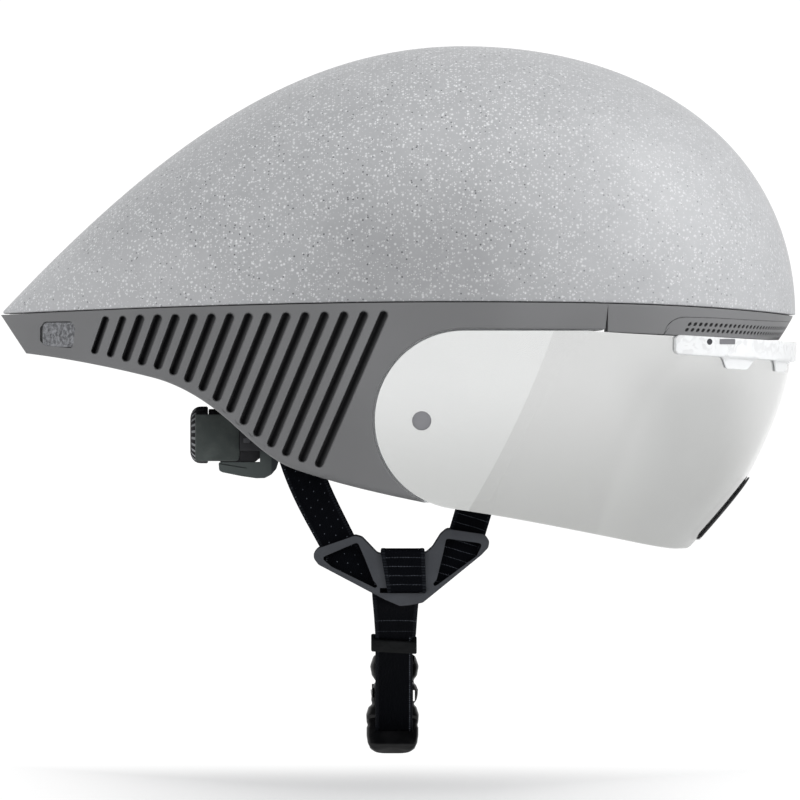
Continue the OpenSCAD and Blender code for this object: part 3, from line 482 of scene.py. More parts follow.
def clear_plastic():
    """Clear plastic with faint ripples along its upper part."""
    f = Finish("clear_plastic", (0.95, 0.96, 0.965), 0.2)
    swirl = {"Vector": f.place, "Scale": 1000 / 7, "Distortion": 1.5}
    ripple = f.node("ShaderNodeTexNoise", {}, swirl, "Fac").step(0.5, 0.62) * f.axis(2).step(-9, -4)
    f.link("Base Color", f.blend(ripple, (0.95, 0.96, 0.965), (0.84, 0.845, 0.85)))
    f.link("Alpha", 0.72 + f.noise(7, 2) * 0.12)
    f.link("Roughness", 0.14 + f.noise(12, 2) * 0.1)
    f.bump(f.noise(9, 2), 0.04, 0.4)
    return f.material


def webbing_cloth(name, marks):
    """Black woven webbing, marked with pale dots, thin pale lines, two seams or one row of stitches."""
    f = Finish(name, (0.01, 0.01, 0.012), 0.8, specular_ior_level=0.02)
    across = f.attribute("across")
    along = f.attribute("along")
    rib = (across * (math.tau / 0.75)).sine()
    weave = rib * (along * (math.tau / 0.62)).sine()
    edge = f.attribute("edge").step(0.78, 0.86)
    base = f.blend(weave.step(-0.6, 0.9), (0.001, 0.001, 0.0015), (0.0055, 0.0065, 0.009))
    faint = 0.3 + f.noise(3).step(0.3, 0.7) * 0.7
    pale = (0.16, 0.175, 0.205)
    if marks == "dots":
        lane = (across + 1.2).wrapped(4.4) - 2.2
        row = (along + across * 0.5).wrapped(4.6) - 2.3
        mark = abs(lane).step(0.3, 0.14) * abs(row).step(0.3, 0.14) * faint
    elif marks == "lines":
        row = (along + f.noise(9) * 0.8 + 2.1).wrapped(4.2) - 2.1
        mark = abs(row).step(0.2, 0.08) * rib.step(-0.4, 0.6) * faint * 0.8
    elif marks == "seams":
        wave = along + f.noise(8) * 1.2
        rows = abs(wave - 26).step(0.3, 0.1) + abs(wave - 34).step(0.25, 0.1) * 0.5
        mark = rows * rib.step(-0.6, 0.4) * faint
    else:
        mark = abs(across - 7.4).step(0.34, 0.18) * abs(along.wrapped(1.6) - 0.8).step(0.45, 0.3) * faint
    thread = abs(along.wrapped(1.25) - 0.6).step(0.5, 0.3)
    base = f.blend(edge * thread * 0.35, base, (0.03, 0.033, 0.04))
    f.link("Base Color", f.blend(mark, base, pale))
    f.link("Roughness", 0.7 + weave * 0.1)
    f.bump(weave * 0.5 + rib * 0.5 + mark * 0.6 + edge * 0.8, 0.16, 0.8)
    return f.material


def slate_divider():
    """Slate plastic with painted shade where its edges turn away."""
    f = Finish("slate_divider", (0.05, 0.053, 0.06), 0.55, specular_ior_level=0.2)
    facing_for_shade = f.node("ShaderNodeSeparateXYZ", {}, {0: f.node("ShaderNodeNewGeometry", {}, {}, "Normal")}, 1)
    base = f.wear((0.05, 0.053, 0.06), (0.06, 0.064, 0.072))
    # Painted shade on faces that turn away from the sides
    f.link("Base Color", f.blend(abs(facing_for_shade).step(0.97, 0.8), base, (0.008, 0.0085, 0.01)))
    f.bump(f.noise(0.7, 2), 0.05, 0.5)
    return f.material


def bracket_plastic():
    """Slate plastic, darker along the front of the bracket."""
    f = Finish("bracket_plastic", (0.085, 0.098, 0.094), 0.45, specular_ior_level=0.15)
    front = f.axis(0).step(-119.4, -118.6)
    f.link("Base Color", f.blend(front, (0.085, 0.098, 0.096), (0.04, 0.045, 0.05)))
    f.bump(f.noise(0.7, 2), 0.04, 0.5)
    return f.material


def knob_rubber():
    """Black rubber whose grip ribs on the rear rim carry a painted highlight."""
    f = Finish("knob_rubber", (0.02, 0.02, 0.022), 0.6, specular_ior_level=0.15)
    base = f.wear((0.02, 0.02, 0.022), (0.033, 0.033, 0.036))
    # Painted highlight on the ribs of the rear rim
    f.link("Base Color", f.blend(f.attribute("rib").step(0.2, 0.8), base, (0.3, 0.31, 0.32)))
    f.bump(f.noise(0.5, 2), 0.06, 0.5)
    return f.material


def nose_rubber():
    """Dark rubber with a painted highlight on its lower lip."""
    f = Finish("nose_rubber", (0.02, 0.02, 0.021), 0.55, specular_ior_level=0.2)
    base = f.wear((0.018, 0.018, 0.019), (0.04, 0.04, 0.042))
    # Painted highlight on the lower lip
    f.link("Base Color", f.blend(f.attribute("rim").step(0.4, 0.6), base, (0.5, 0.5, 0.5)))
    f.bump(f.noise(0.6, 2), 0.05, 0.5)
    return f.material


def pad_cloth():
    """Black knitted pad cloth."""
    f = Finish("pad_cloth", (0.02, 0.02, 0.023), 0.9, sheen_weight=0.35, sheen_roughness=0.4)
    waves = [(f.axis(index) * (math.tau / 1.3)).sine() for index in range(3)]
    knit = waves[0] * waves[2] + waves[1] * 0.6
    base = f.blend(knit.step(-0.9, 1.1), (0.01, 0.01, 0.012), (0.036, 0.037, 0.042))
    f.link("Base Color", f.blend(f.noise(18, 3).step(0.35, 0.75) * 0.4, base, (0.05, 0.05, 0.056)))
    f.bump(knit + f.noise(2.2, 2), 0.25, 0.7)
    return f.material


FINISHES = {
    "shell": speckled_shell(),
    "foam": bead_foam(),
    "body": grey_body(),
    "badge": cast_plate(),
    "mesh": black_mesh(),
    "magnet": nickel(),
    "pad": pad_cloth(),
    "dotted": webbing_cloth("dotted_webbing", "dots"),
    "webbing": webbing_cloth("lined_webbing", "lines"),
    "seamed": webbing_cloth("seamed_webbing", "seams"),
    "stitched": webbing_cloth("stitched_webbing", "stitches"),
    "divider": slate_divider(),
    "buckle": moulded("buckle_plastic", (0.003, 0.003, 0.0035), 0.3, 1.2, 0.02, 0.25),
    "lens": mirror_lens(),
    "clear": clear_plastic(),
    "seal": moulded("black_rubber", (0.003, 0.0035, 0.004), 0.65, 0.6, 0.05, 0.08),
    "nose": nose_rubber(),
    "screw": moulded("black_screw", (0.05, 0.05, 0.055), 0.35, 0.5, 0.02),
    "fit": moulded("fit_plastic", (0.085, 0.098, 0.094), 0.45, 0.7, 0.04),
    "dial": moulded("dial_rubber", (0.02, 0.02, 0.022), 0.6, 0.5, 0.06),
    "knob": knob_rubber(),
    "bracket": bracket_plastic(),
}
# Kept even where the CAD node that wears it is replaced
for name in ("mesh", "magnet", "badge", "seal", "screw", "fit", "dial", "buckle", "pad", "foam"):
    FINISHES[name].use_fake_user = True


def finish_cad_nodes():
    """Each CAD node that shows gets the finish of its slot in the record."""
    for part in frame["record"]["subparts"]:
        node = frame["nodes"][part["node"]]
        finish = FINISHES[part["material_slot"]]
        node.data.materials.clear()
        node.data.materials.append(finish)


# Meshes


def applied(piece):
    """Applies the modifiers of a piece to its mesh."""
    graph = bpy.context.evaluated_depsgraph_get()
    made = bpy.data.meshes.new_from_object(piece.evaluated_get(graph))
    piece.modifiers.clear()
    piece.data = made
    return piece


def raw_piece(name, points, faces, attributes=None):
    mesh = bpy.data.meshes.new(name)
    mesh.from_pydata([Vector(p) * MM for p in points], [], faces)
    for key, values in (attributes or {}).items():
        layer = mesh.attributes.new(key, "FLOAT", "POINT")
        layer.data.foreach_set("value", values)
    piece = bpy.data.objects.new(name, mesh)
    scene.collection.objects.link(piece)
    return piece


@contextmanager
def reshaped(piece):
    """Opens the mesh of a piece for changes and turns every face outwards at the end."""
    shape = bmesh.new()
    shape.from_mesh(piece.data)
    yield shape
    bmesh.ops.recalc_face_normals(shape, faces=shape.faces)
    shape.to_mesh(piece.data)
    shape.free()


def tidied(piece, weld=0.002):
    """Welds points that meet and turns every face outwards."""
    with reshaped(piece) as shape:
        bmesh.ops.remove_doubles(shape, verts=shape.verts, dist=weld * MM)
        bmesh.ops.dissolve_degenerate(shape, edges=shape.edges, dist=1e-7)
    return piece


def rounded(piece, width, segments=2, angle=35):
    """Rounds the sharp edges of a piece by a width in mm."""
    bevel = piece.modifiers.new("bevel", "BEVEL")
    bevel.width = width * MM
    bevel.segments = segments
    bevel.limit_method = "ANGLE"
    bevel.angle_limit = math.radians(angle)
    bevel.use_clamp_overlap = True
    return applied(piece)


def combined(piece, operation, tools):
    """Cuts tools out of a piece or joins them to it, and removes them."""
    for tool in tools:
        boolean = piece.modifiers.new("combine", "BOOLEAN")
        boolean.operation = operation
        boolean.solver = "EXACT"
        boolean.object = tool
        applied(piece)
        bpy.data.objects.remove(tool)
    return piece


def cut(piece, *tools):
    return combined(piece, "DIFFERENCE", tools)


def joined(piece, tool):
    return combined(piece, "UNION", [tool])


def dressed(piece, finish, body, slot, *nodes, sharp=40):
    """Gives a piece its finish, its body and the CAD nodes that it stands for; slot is not used."""
    piece.data.materials.clear()
    piece.data.materials.append(FINISHES[finish])
    piece.data.shade_smooth()
    piece.data.set_sharp_from_angle(angle=math.radians(sharp))
    if body:
        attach(piece, body)
    if nodes:
        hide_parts(*nodes)
    return piece


def dressed_pair(left, finish, body, slot, node=None, sharp=40):
    """Dresses a left piece and its twin on the right, which stand for node_left and node_right."""
    right = mirrored(left, left.name.replace("left", "right"))
    for piece, side in ((left, "_left"), (right, "_right")):
        nodes = [node + side] if node else []
        dressed(piece, finish, body, slot, *nodes, sharp=sharp)
    return left, right


def grid_faces(n, m, start=0, closed=False):
    """Faces between n lines of m points; closed joins the last point of each line to its first."""
    faces = []
    for i in range(n - 1):
        for j in range(m if closed else m - 1):
            a = start + i * m + j
            b = start + i * m + (j + 1) % m
            faces.append((a, b, b + m, a + m))
    return faces


def tube_faces(n, m):
    """Faces of a tube of n rings of m points, with both ends capped."""
    total = n * m
    caps = [tuple(range(m)), tuple(range(total - 1, total - m - 1, -1))]
    return grid_faces(n, m, closed=True) + caps


def slab(name, front, back):
    """A solid between two grids of points, joined round their four edges."""
    n = len(front)
    m = len(front[0])
    k = n * m
    points = [p for grid in (front, back) for row in grid for p in row]
    faces = grid_faces(n, m)
    faces += [tuple(k + i for i in reversed(f)) for f in grid_faces(n, m)]
    for i in range(n - 1):
        a, d = i * m, (i + 1) * m
        faces.append((a, d, d + k, a + k))
        faces.append((d + m - 1, a + m - 1, a + m - 1 + k, d + m - 1 + k))
    for j in range(m - 1):
        d = (n - 1) * m + j
        faces.append((j + 1, j, j + k, j + 1 + k))
        faces.append((d, d + 1, d + 1 + k, d + k))
    return tidied(raw_piece(name, points, faces))


def prism(name, outline, low, high, place):
    """An outline of (u, v) points drawn out from low to high; place turns (u, v, w) into a point."""
    n = len(outline)
    points = [place(u, v, w) for w in (low, high) for u, v in outline]
    faces = [tuple(range(n)), tuple(range(2 * n - 1, n - 1, -1))]
    faces += [(i, (i + 1) % n, (i + 1) % n + n, i + n) for i in range(n)]
    return tidied(raw_piece(name, points, faces))


def ring_of(r, count=40, centre=(0, 0)):
    """Outline of a circle."""
    turns = [math.tau * k / count for k in range(count)]
    return [(centre[0] + r * math.cos(a), centre[1] + r * math.sin(a)) for a in turns]


def box(u0, u1, v0, v1):
    """Outline of a rectangle."""
    return [(u0, v0), (u1, v0), (u1, v1), (u0, v1)]


def fillet(outline, radii, steps=6):
    """An outline with each corner rounded by its radius."""
    made = []
    n = len(outline)
    for i, (x, y) in enumerate(outline):
        r = radii[i] if isinstance(radii, (list, tuple)) else radii
        corner = Vector((x, y))
        before = Vector(outline[i - 1]) - corner
        after = Vector(outline[(i + 1) % n]) - corner
        half = before.angle(after) / 2
        reach = min(r / math.tan(half), 0.48 * before.length, 0.48 * after.length)
        a = corner + before.normalized() * reach
        b = corner + after.normalized() * reach
        for k in range(steps + 1):
            t = k / steps
            made.append(tuple(mix(mix(a, corner, t), mix(corner, b, t), t)))
    return made


def mirrored(piece, name):
    """A copy of a piece across the mid-plane."""
    twin = bpy.data.objects.new(name, piece.data.copy())
    twin.data.name = name
    scene.collection.objects.link(twin)
    twin.data.transform(Matrix.Scale(-1, 4, (0, 1, 0)))
    twin.data.flip_normals()
    return twin


# Shell and liner


def make_shell():
    """The outer skin, with a rounded rim along the parting line."""
    stations, arc = 170, 120
    qs = [i / stations for i in range(stations + 1)]
    arcs = [math.pi * (0.5 - 0.5 * math.cos(math.pi * j / arc)) * 0.6 + math.pi * j / arc * 0.4
            for j in range(arc + 1)]
    front, back = [], []
    for q in qs:
        rim = [dome(q, 0, d, SHELL_RIM + r) for d, r in ((0.9, 0), (0.4, 0.1), (0.1, 0.35))]
        over = [dome(q, a, 0, SHELL_RIM + 0.7 * (1 - math.sin(a)) ** 8) for a in arcs]
        rim_left = [(x, -y, z) for x, y, z in reversed(rim)]
        front.append(rim + over + rim_left)
        inner = [dome(q, a, SHELL_T, SHELL_RIM) for a in arcs]
        back.append([inner[0]] * 3 + inner + [inner[-1]] * 3)
    piece = slab("shell_cap", front, back)
    dressed(piece, "shell", "helmet", "shell", "top_shell", sharp=50)


def make_liner():
    """The foam between the shell and the head cavity."""
    stations, arc = 90, 64
    front, back = [], []
    for i in range(stations + 1):
        q = i / stations
        arcs = [math.pi * j / arc for j in range(arc + 1)]
        front.append([dome(q, a, SHELL_T + SEAT, 0) for a in arcs])
        row = []
        for a in arcs:
            x, y, z = cavity(q, a, 0)
            # Three air channels run fore and aft over the head
            channel = 0
            for y0, w in ((0, 9), (-36, 7), (36, 7)):
                near = smooth(1 - abs(y - y0) / w)
                channel += near * smooth((z - 62) / 14) * (1 - smooth((abs(x) - 70) / 16))
            k = 1 + 0.045 * min(channel, 1)
            row.append((x, y, CAVITY_Z + (z - CAVITY_Z) * k))
        back.append(row)
    piece = slab("foam_core", front, back)
    dressed(piece, "foam", "helmet", "foam", "foam_liner", sharp=50)


# Side panels


EDGE_KNOTS = [(-233, -6.5, -0.125), (-175, -17.6, -0.25), (-136, -40.4, -0.924),
              (-108, -60.6, -0.344), (-36.5, -78.3, -0.193), (80, -80, 0.05)]
TAIL_LOW = TAIL_X + 11.8
TAIL_TOP = TAIL_X - 0.3
PANEL_FRONT = [(0, -17.9, 45), (0.7, 16, 48), (0.86, 30, 60), (0.888, 36.6, 30), (1, 38.5, 12)]
SLOTS = 16
SLOT_W = 4.1
SLOT_RISE = 6.6
SLOT_DEPTH = 3.8
POCKET_TOP_Z = 5.0
POCKET_R = LENS_R + LENS_GAP + 0.2
SECTION_ROUND = 2.0


def edge_z(x):
    return curve(EDGE_KNOTS, x)


def top_z(x):
    return parting_z(x) - SEAT


def slot(n):
    """Axis of a cooling slot: the point at its top, the point at its foot, and its width."""
    x1 = -66.4 - 9.32 * n + 0.043 * n * n
    z1 = 11.3 - 0.13 * n
    lean = math.tan(math.radians(mix(23.5, 19.3, n / 15)))
    x2 = x1 - 12
    for _ in range(6):
        x2 = x1 - (z1 - edge_z(x2) - SLOT_RISE) * lean
    return (x1, z1), (x2, edge_z(x2) + SLOT_RISE), SLOT_W * (0.8 if n > 13 else 1)


def slot_sink(x, z):
    """Depth of the slots at a point, from 0 on the face to 1, less towards the front of a slot. It also
    serves as the painted shade in the slots.
    """
    deep = 0
    for top, foot, w in SLOT_LIST:
        ax, az = foot[0] - top[0], foot[1] - top[1]
        t = clamp01(((x - top[0]) * ax + (z - top[1]) * az) / (ax * ax + az * az))
        px, pz = x - top[0] - ax * t, z - top[1] - az * t
        inside = w / 2 - math.hypot(px, pz)
        if inside < -0.5:
            continue
        length = math.hypot(ax, az)
        ahead = (px * -az + pz * ax) / length
        ramp = mix(1, 0.62, smooth((ahead / (w / 2) + 0.6) / 1.5))
        deep = max(deep, smooth((inside + 0.3) / 0.75) * ramp)
    return deep


SLOT_LIST = [slot(n) for n in range(SLOTS)]


def rounding(x, z):
    """Inset of the rounded lower edge."""
    d = min(max(z - edge_z(x), 0), SECTION_ROUND)
    return SECTION_ROUND - math.sqrt(max(SECTION_ROUND ** 2 - (SECTION_ROUND - d) ** 2, 0))


ROUND_ROWS = [0, 0.12, 0.35, 0.75, 1.3, SECTION_ROUND]


def slanted_column(foot, top, foot_r):
    """Points up a line through a slot's ends, from the lower edge to the parting line."""
    lean = (top[0] - foot[0]) / (top[1] - foot[1])

    def at(z):
        return (foot[0] + (z - foot[1]) * lean, z)

    low, high = foot[1], top[1]
    for _ in range(8):
        low = edge_z(at(low)[0])
        high = top_z(at(high)[0])
    zs = [low + d for d in ROUND_ROWS]
    # Close steps round both ends of the slot, wider ones between them
    marks = [low + SECTION_ROUND, foot[1] - foot_r - 0.6, foot[1] + foot_r * 0.8, top[1] - foot_r * 0.8,
             top[1] + foot_r + 0.6, high]
    for start, end, steps in zip(marks, marks[1:], (2, 12, 14, 12, 3)):
        zs += [mix(start, end, t / steps) for t in range(1, steps + 1)]
    return [at(z) for z in zs]


def slot_columns():
    """Columns of points from the rearmost slot to the foremost one."""
    columns = []
    for n in range(SLOTS - 1, -1, -1):
        top, foot, w = SLOT_LIST[n]
        r = w / 2
        offsets = [-r - 0.5, -r - 0.25, -r - 0.05, -r + 0.15, -r + 0.35, -r + 0.6, -0.55 * r, -0.2 * r,
                   0.15 * r, 0.5 * r, r - 0.6, r - 0.35, r - 0.15, r + 0.05, r + 0.25, r + 0.5]
        lean = math.atan2(top[0] - foot[0], top[1] - foot[1])
        for o in offsets:
            dx, dz = o * math.cos(lean), -o * math.sin(lean)
            columns.append(slanted_column((foot[0] + dx, foot[1] + dz), (top[0] + dx, top[1] + dz), r))
        if n:
            next_top, next_foot, _ = SLOT_LIST[n - 1]
            columns.append(slanted_column(on_way(foot, next_foot, 0.5), on_way(top, next_top, 0.5), r))
    return columns


def even_steps(places, count):
    """Even steps along a path: the stretch that each step lies in, and its share of that stretch."""
    run = [0.0]
    for a, b in zip(places, places[1:]):
        run.append(run[-1] + math.dist(a, b))
    k = 0
    for i in range(count):
        s = run[-1] * i / (count - 1)
        while k < len(places) - 2 and run[k + 1] < s:
            k += 1
        yield k, (s - run[k]) / max(run[k + 1] - run[k], 1e-9)


def resampled(path, count):
    """A path of (x, z) points at even steps."""
    return [on_way(path[k], path[k + 1], t) for k, t in even_steps(path, count)]


class Sheet:
    """The outer face of a panel, gathered as (x, z, sink) points and the faces between them."""

    def __init__(self):
        self.points = []
        self.faces = []

    def band(self, lines):
        """Faces between lines of points, all of one length."""
        start = len(self.points)
        for line in lines:
            self.points += line
        self.faces += grid_faces(len(lines), len(lines[0]), start)


def pocket_outline():
    """Edge of the lens pocket, from the lower edge round the rear to the front corner, in three runs."""
    start = -0.5 * math.pi
    while LENS_Z + POCKET_R * math.sin(start) < edge_z(LENS_X + POCKET_R * math.cos(start)) + 0.02:
        start -= 0.002
    arc = []
    for k in range(73):
        a = mix(start, -1.5 * math.pi, k / 72)
        arc.append((LENS_X + POCKET_R * math.cos(a), LENS_Z + POCKET_R * math.sin(a)))
    front = (PANEL_FRONT[-1][1] - 1.4, POCKET_TOP_Z - 0.2)
    low = arc[:19]
    rear = arc[18:50]
    high = arc[49:] + [front]
    return low, rear, high


LIP_W = 0.4
LIP_SINK = 0.45


def pocket_surround(sheet, last):
    """Joins the last slot column to the lens pocket, above and below too; returns the pocket's edge."""
    low, rear, high = pocket_outline()
    low_count, high_count = 26, 34
    low_xs = [mix(low[0][0], last[0][0], i / (low_count - 1)) for i in range(low_count)]
    high_xs = [mix(last[-1][0], PANEL_FRONT[-1][1], i / (high_count - 1)) for i in range(high_count)]
    inner = resampled(low, low_count) + resampled(rear, len(last))[1:] + resampled(high, high_count)[1:]
    outer = [(x, edge_z(x)) for x in low_xs] + last[1:] + [(x, top_z(x)) for x in high_xs][1:]
    # Distance from the pocket's edge, sink below the face, and share of the way to the outer line
    steps = [(0.0, LIP_SINK, 0), (0.12, 0.15, 0)]
    steps += [(LIP_W, 0.0, share) for share in (0, 0.04, 0.12, 0.25, 0.4, 0.55, 0.7, 0.84, 0.93, 1)]
    lines = []
    for reach, sink, share in steps:
        line = []
        for a, b in zip(inner, outer):
            t = min(reach / max(math.dist(a, b), 1e-6), 0.3)
            line.append((*on_way(a, b, mix(t, 1, share)), sink))
        lines.append(line)
    sheet.band(lines)
    return inner


def pocket_sink(x, z):
    """Depth of the pocket's floor below the panel's face."""
    floor = HALF_W - LENS_INSET - LENS_T - LENS_GAP - LENS_LEAN * (LENS_TOP_Z - z)
    return side_y(x, z) - floor


def pocket_bed(sheet, edge):
    """Wall and floor of the lens pocket; returns the numbers of the floor's points."""
    total = len(edge)
    spine = []
    for i in range(total):
        v = i / (total - 1)
        x = curve(PANEL_FRONT, mix(0.02, 0.87, v))
        spine.append((min(x, edge[-1][0]), mix(edge[0][1], POCKET_TOP_Z - 0.2, v)))
    spine[0] = edge[0]
    spine[-1] = edge[-1]
    start = len(sheet.points)
    lines = [[(x, z, LIP_SINK) for x, z in edge], [(x, z, pocket_sink(x, z) - 0.3) for x, z in edge]]
    for s in (0.004, 0.15, 0.35, 0.6, 0.8, 1.0):
        line = [on_way(a, b, s) for a, b in zip(edge, spine)]
        lines.append([(x, z, pocket_sink(x, z)) for x, z in line])
    sheet.band(lines)
    return range(start + total, len(sheet.points))


BADGE_CENTRE = (-219.2, 2.4)
BADGE_OUTLINE = [(-8.2, 3.2), (-6.2, 6.0), (6.6, 6.2), (8.2, 3.0), (6.8, -6.2), (-5.4, -5.0), (-8.2, -3.0)]
BADGE_ROUND = [1.2, 1.4, 2.4, 2.2, 1.6, 2.2, 1.4]
BADGE_SINK = 1.9


def tail_and_badge(sheet, first):
    """The tail behind the rearmost slot column, with the recess of the badge plate."""
    tail_top = (TAIL_TOP, top_z(TAIL_TOP))
    tail_low = (TAIL_LOW, edge_z(TAIL_LOW))
    edge_steps, tail_steps = 18, 16
    low_xs = [mix(first[0][0], TAIL_LOW, i / edge_steps) for i in range(1, edge_steps + 1)]
    high_xs = [mix(TAIL_TOP, first[-1][0], i / edge_steps) for i in range(1, edge_steps + 1)]
    ring = first[::-1] + [(x, edge_z(x)) for x in low_xs]
    ring += [on_way(tail_low, tail_top, i / tail_steps) for i in range(1, tail_steps + 1)]
    ring += [(x, top_z(x)) for x in high_xs]
    badge = [(BADGE_CENTRE[0] + x, BADGE_CENTRE[1] + z) for x, z in fillet(BADGE_OUTLINE, BADGE_ROUND, 5)]
    hole = []
    for x, z in ring:
        angle = math.atan2(z - BADGE_CENTRE[1], (x - BADGE_CENTRE[0]) * 0.62)
        hole.append(ray_to(badge, BADGE_CENTRE, angle))
    rim_w = 0.6
    steps = ((-0.12, BADGE_SINK), (0.0, 1.7), (0.03, 0.9), (0.12, 0.35), (0.3, 0.08), (rim_w, 0.0))
    lines = []
    for reach, sink in steps:
        lines.append([(*pushed(p, BADGE_CENTRE, reach), sink) for p in hole])
    rim = [pushed(p, BADGE_CENTRE, rim_w) for p in hole]
    for s in (0.12, 0.25, 0.4, 0.55, 0.7, 0.82, 0.92, 0.97, 1.0):
        lines.append([(*on_way(p, q, s), 0.0) for p, q in zip(rim, ring)])
    sheet.band(lines)
    floor = [lines[0]]
    for s in (0.7, 0.4, 0.02):
        floor.append([(*on_way(BADGE_CENTRE, p, s), BADGE_SINK) for p in hole])
    sheet.band(floor)


def make_side_panel():
    """The left panel: slot columns, lens pocket and tail on one sheet, with an inner face behind them."""
    sheet = Sheet()
    columns = slot_columns()
    sheet.band([[(x, z, 0.0) for x, z in column] for column in columns])
    edge = pocket_surround(sheet, columns[-1])
    bed = pocket_bed(sheet, edge)
    tail_and_badge(sheet, columns[0])

    outer, painted_shade, pocket = [], [], []
    for k, (x, z, sink) in enumerate(sheet.points):
        deep = slot_sink(x, z) if sink == 0 else 0
        y = side_y(x, z) - rounding(x, z) - sink - deep * SLOT_DEPTH
        outer.append((x, max(y, 0.5), z))
        # The slot depth is also kept as the panel's painted shade
        painted_shade.append(deep)
        pocket.append(1.0 if k in bed else 0.0)
    piece = raw_piece("side_left", outer, sheet.faces, {"painted_shade": painted_shade, "pocket": pocket})
    return backed(tidied(piece, 0.01), lambda x, z: max(side_y(x, z) + rounding(x, z) - PANEL_T, 0.15))


def ray_to(outline, centre, angle):
    """Where a ray from the centre meets an outline."""
    dx, dz = math.cos(angle), math.sin(angle)
    best = None
    for i, a in enumerate(outline):
        b = outline[(i + 1) % len(outline)]
        ex, ez = b[0] - a[0], b[1] - a[1]
        det = dx * -ez + ex * dz
        if abs(det) < 1e-9:
            continue
        px, pz = a[0] - centre[0], a[1] - centre[1]
        t = (px * -ez + ex * pz) / det
        s = (dx * pz - dz * px) / det
        if t > 0 and -1e-6 <= s <= 1 + 1e-6 and (best is None or t > best):
            best = t
    return (centre[0] + dx * best, centre[1] + dz * best)


def pushed(p, centre, reach):
    """A point moved away from the centre."""
    return on_way(centre, p, 1 + reach / math.dist(p, centre))


def backed(piece, inner_y):
    """Gives a sheet its inner face and the wall round its open edges."""
    with reshaped(piece) as shape:
        layer = shape.verts.layers.float["painted_shade"]
        pairs = {}
        for v in list(shape.verts):
            x, y, z = v.co / MM
            inner = shape.verts.new(Vector((x, min(inner_y(x, z), y - 0.25), z)) * MM)
            inner[layer] = 0
            pairs[v] = inner
        for face in list(shape.faces):
            shape.faces.new([pairs[v] for v in reversed(face.verts)])
        for edge in [e for e in shape.edges if len(e.link_faces) == 1 and e.verts[0] in pairs]:
            a, b = edge.verts
            shape.faces.new((a, b, pairs[b], pairs[a]))
    return piece


def make_side_panels():
    dressed_pair(make_side_panel(), "body", "helmet", "body", "side_panel", sharp=48)


# Brow band, grille, lens, bridge and seal


BROW_T = 3.2


def brow_low_z(x):
    return 3.8 * clamp01((NOSE_X - 8 - x) / 83)


def brow_inset(f, z, x):
    lean = (0.6 + 6.4 * math.sin(f) ** 6) * clamp01((parting_z(x) - z) / 12) ** 1.2
    return lean + 1.1 * math.sin(f) ** 6


def wrap(f, d):
    return (FRONT_X + (NOSE_X - FRONT_X - d) * abs(math.sin(f)) ** (2 / FRONT_N),
            -(HALF_W - d) * signed_pow(math.cos(f), 2 / FRONT_N))


def wrap_x(f):
    return wrap(f, 0)[0]


def grille_top_z(x):
    return mix(10.2, 8.3, smooth((x - 74) / (NOSE_X - 76)))


def brow_split_z(x):
    t = 1 - clamp01((x - 65) / 9.5)
    return mix(brow_low_z(x), grille_top_z(x) + 0.4, math.sqrt(1 - t * t))


def brow_point(f, z, d):
    x = wrap_x(f)
    p = wrap(f, brow_inset(f, z, x) + d)
    return (p[0], p[1], z)


def brow_angles(start, count):
    """Angles round the brow at even steps along it, from the right to the left."""
    start = math.radians(start)
    fine = [mix(start, math.pi - start, i / 2000) for i in range(2001)]
    places = [wrap(a, 0) for a in fine]
    return [mix(fine[k], fine[k + 1], t) for k, t in even_steps(places, count)]


def make_brow_band():
    """The band is open below towards the sides and carries the grille in front."""
    rows = 12
    front, back = [], []
    for f in brow_angles(7.6, 241):
        x = wrap_x(f)
        low, high = brow_split_z(x), parting_z(x) - SEAT
        for grid, d in ((front, 0), (back, BROW_T)):
            grid.append([brow_point(f, mix(low, high, j / rows), d) for j in range(rows + 1)])
    piece = rounded(slab("brow_skin", front, back), 0.12)
    dressed(piece, "body", "helmet", "body", "brow_band")


GRILLE_START = 21.2
GRILLE_T = 2.4
HOLE_PITCH = 2.9
# Rows of holes, and the plain strips around them, as shares of the height, with the painted shade of each
# edge; the top strip paints a dark line under the band
HOLE_ROWS = ((0.16, 0.47), (0.47, 0.80))
PLAIN_STRIPS = ((0.0, 0.16, 0, 0), (0.80, 0.97, 0, 0), (0.97, 1.03, 0.2, 0.6))
# Size, depth and painted shade of the rings inside a hole, from its mouth to its floor
HOLE_RINGS = ((1.0, 0.0, 0.0), (0.88, 0.12, 0.3), (0.84, 1.1, 0.66), (0.1, 1.15, 0.66))
RING = 16


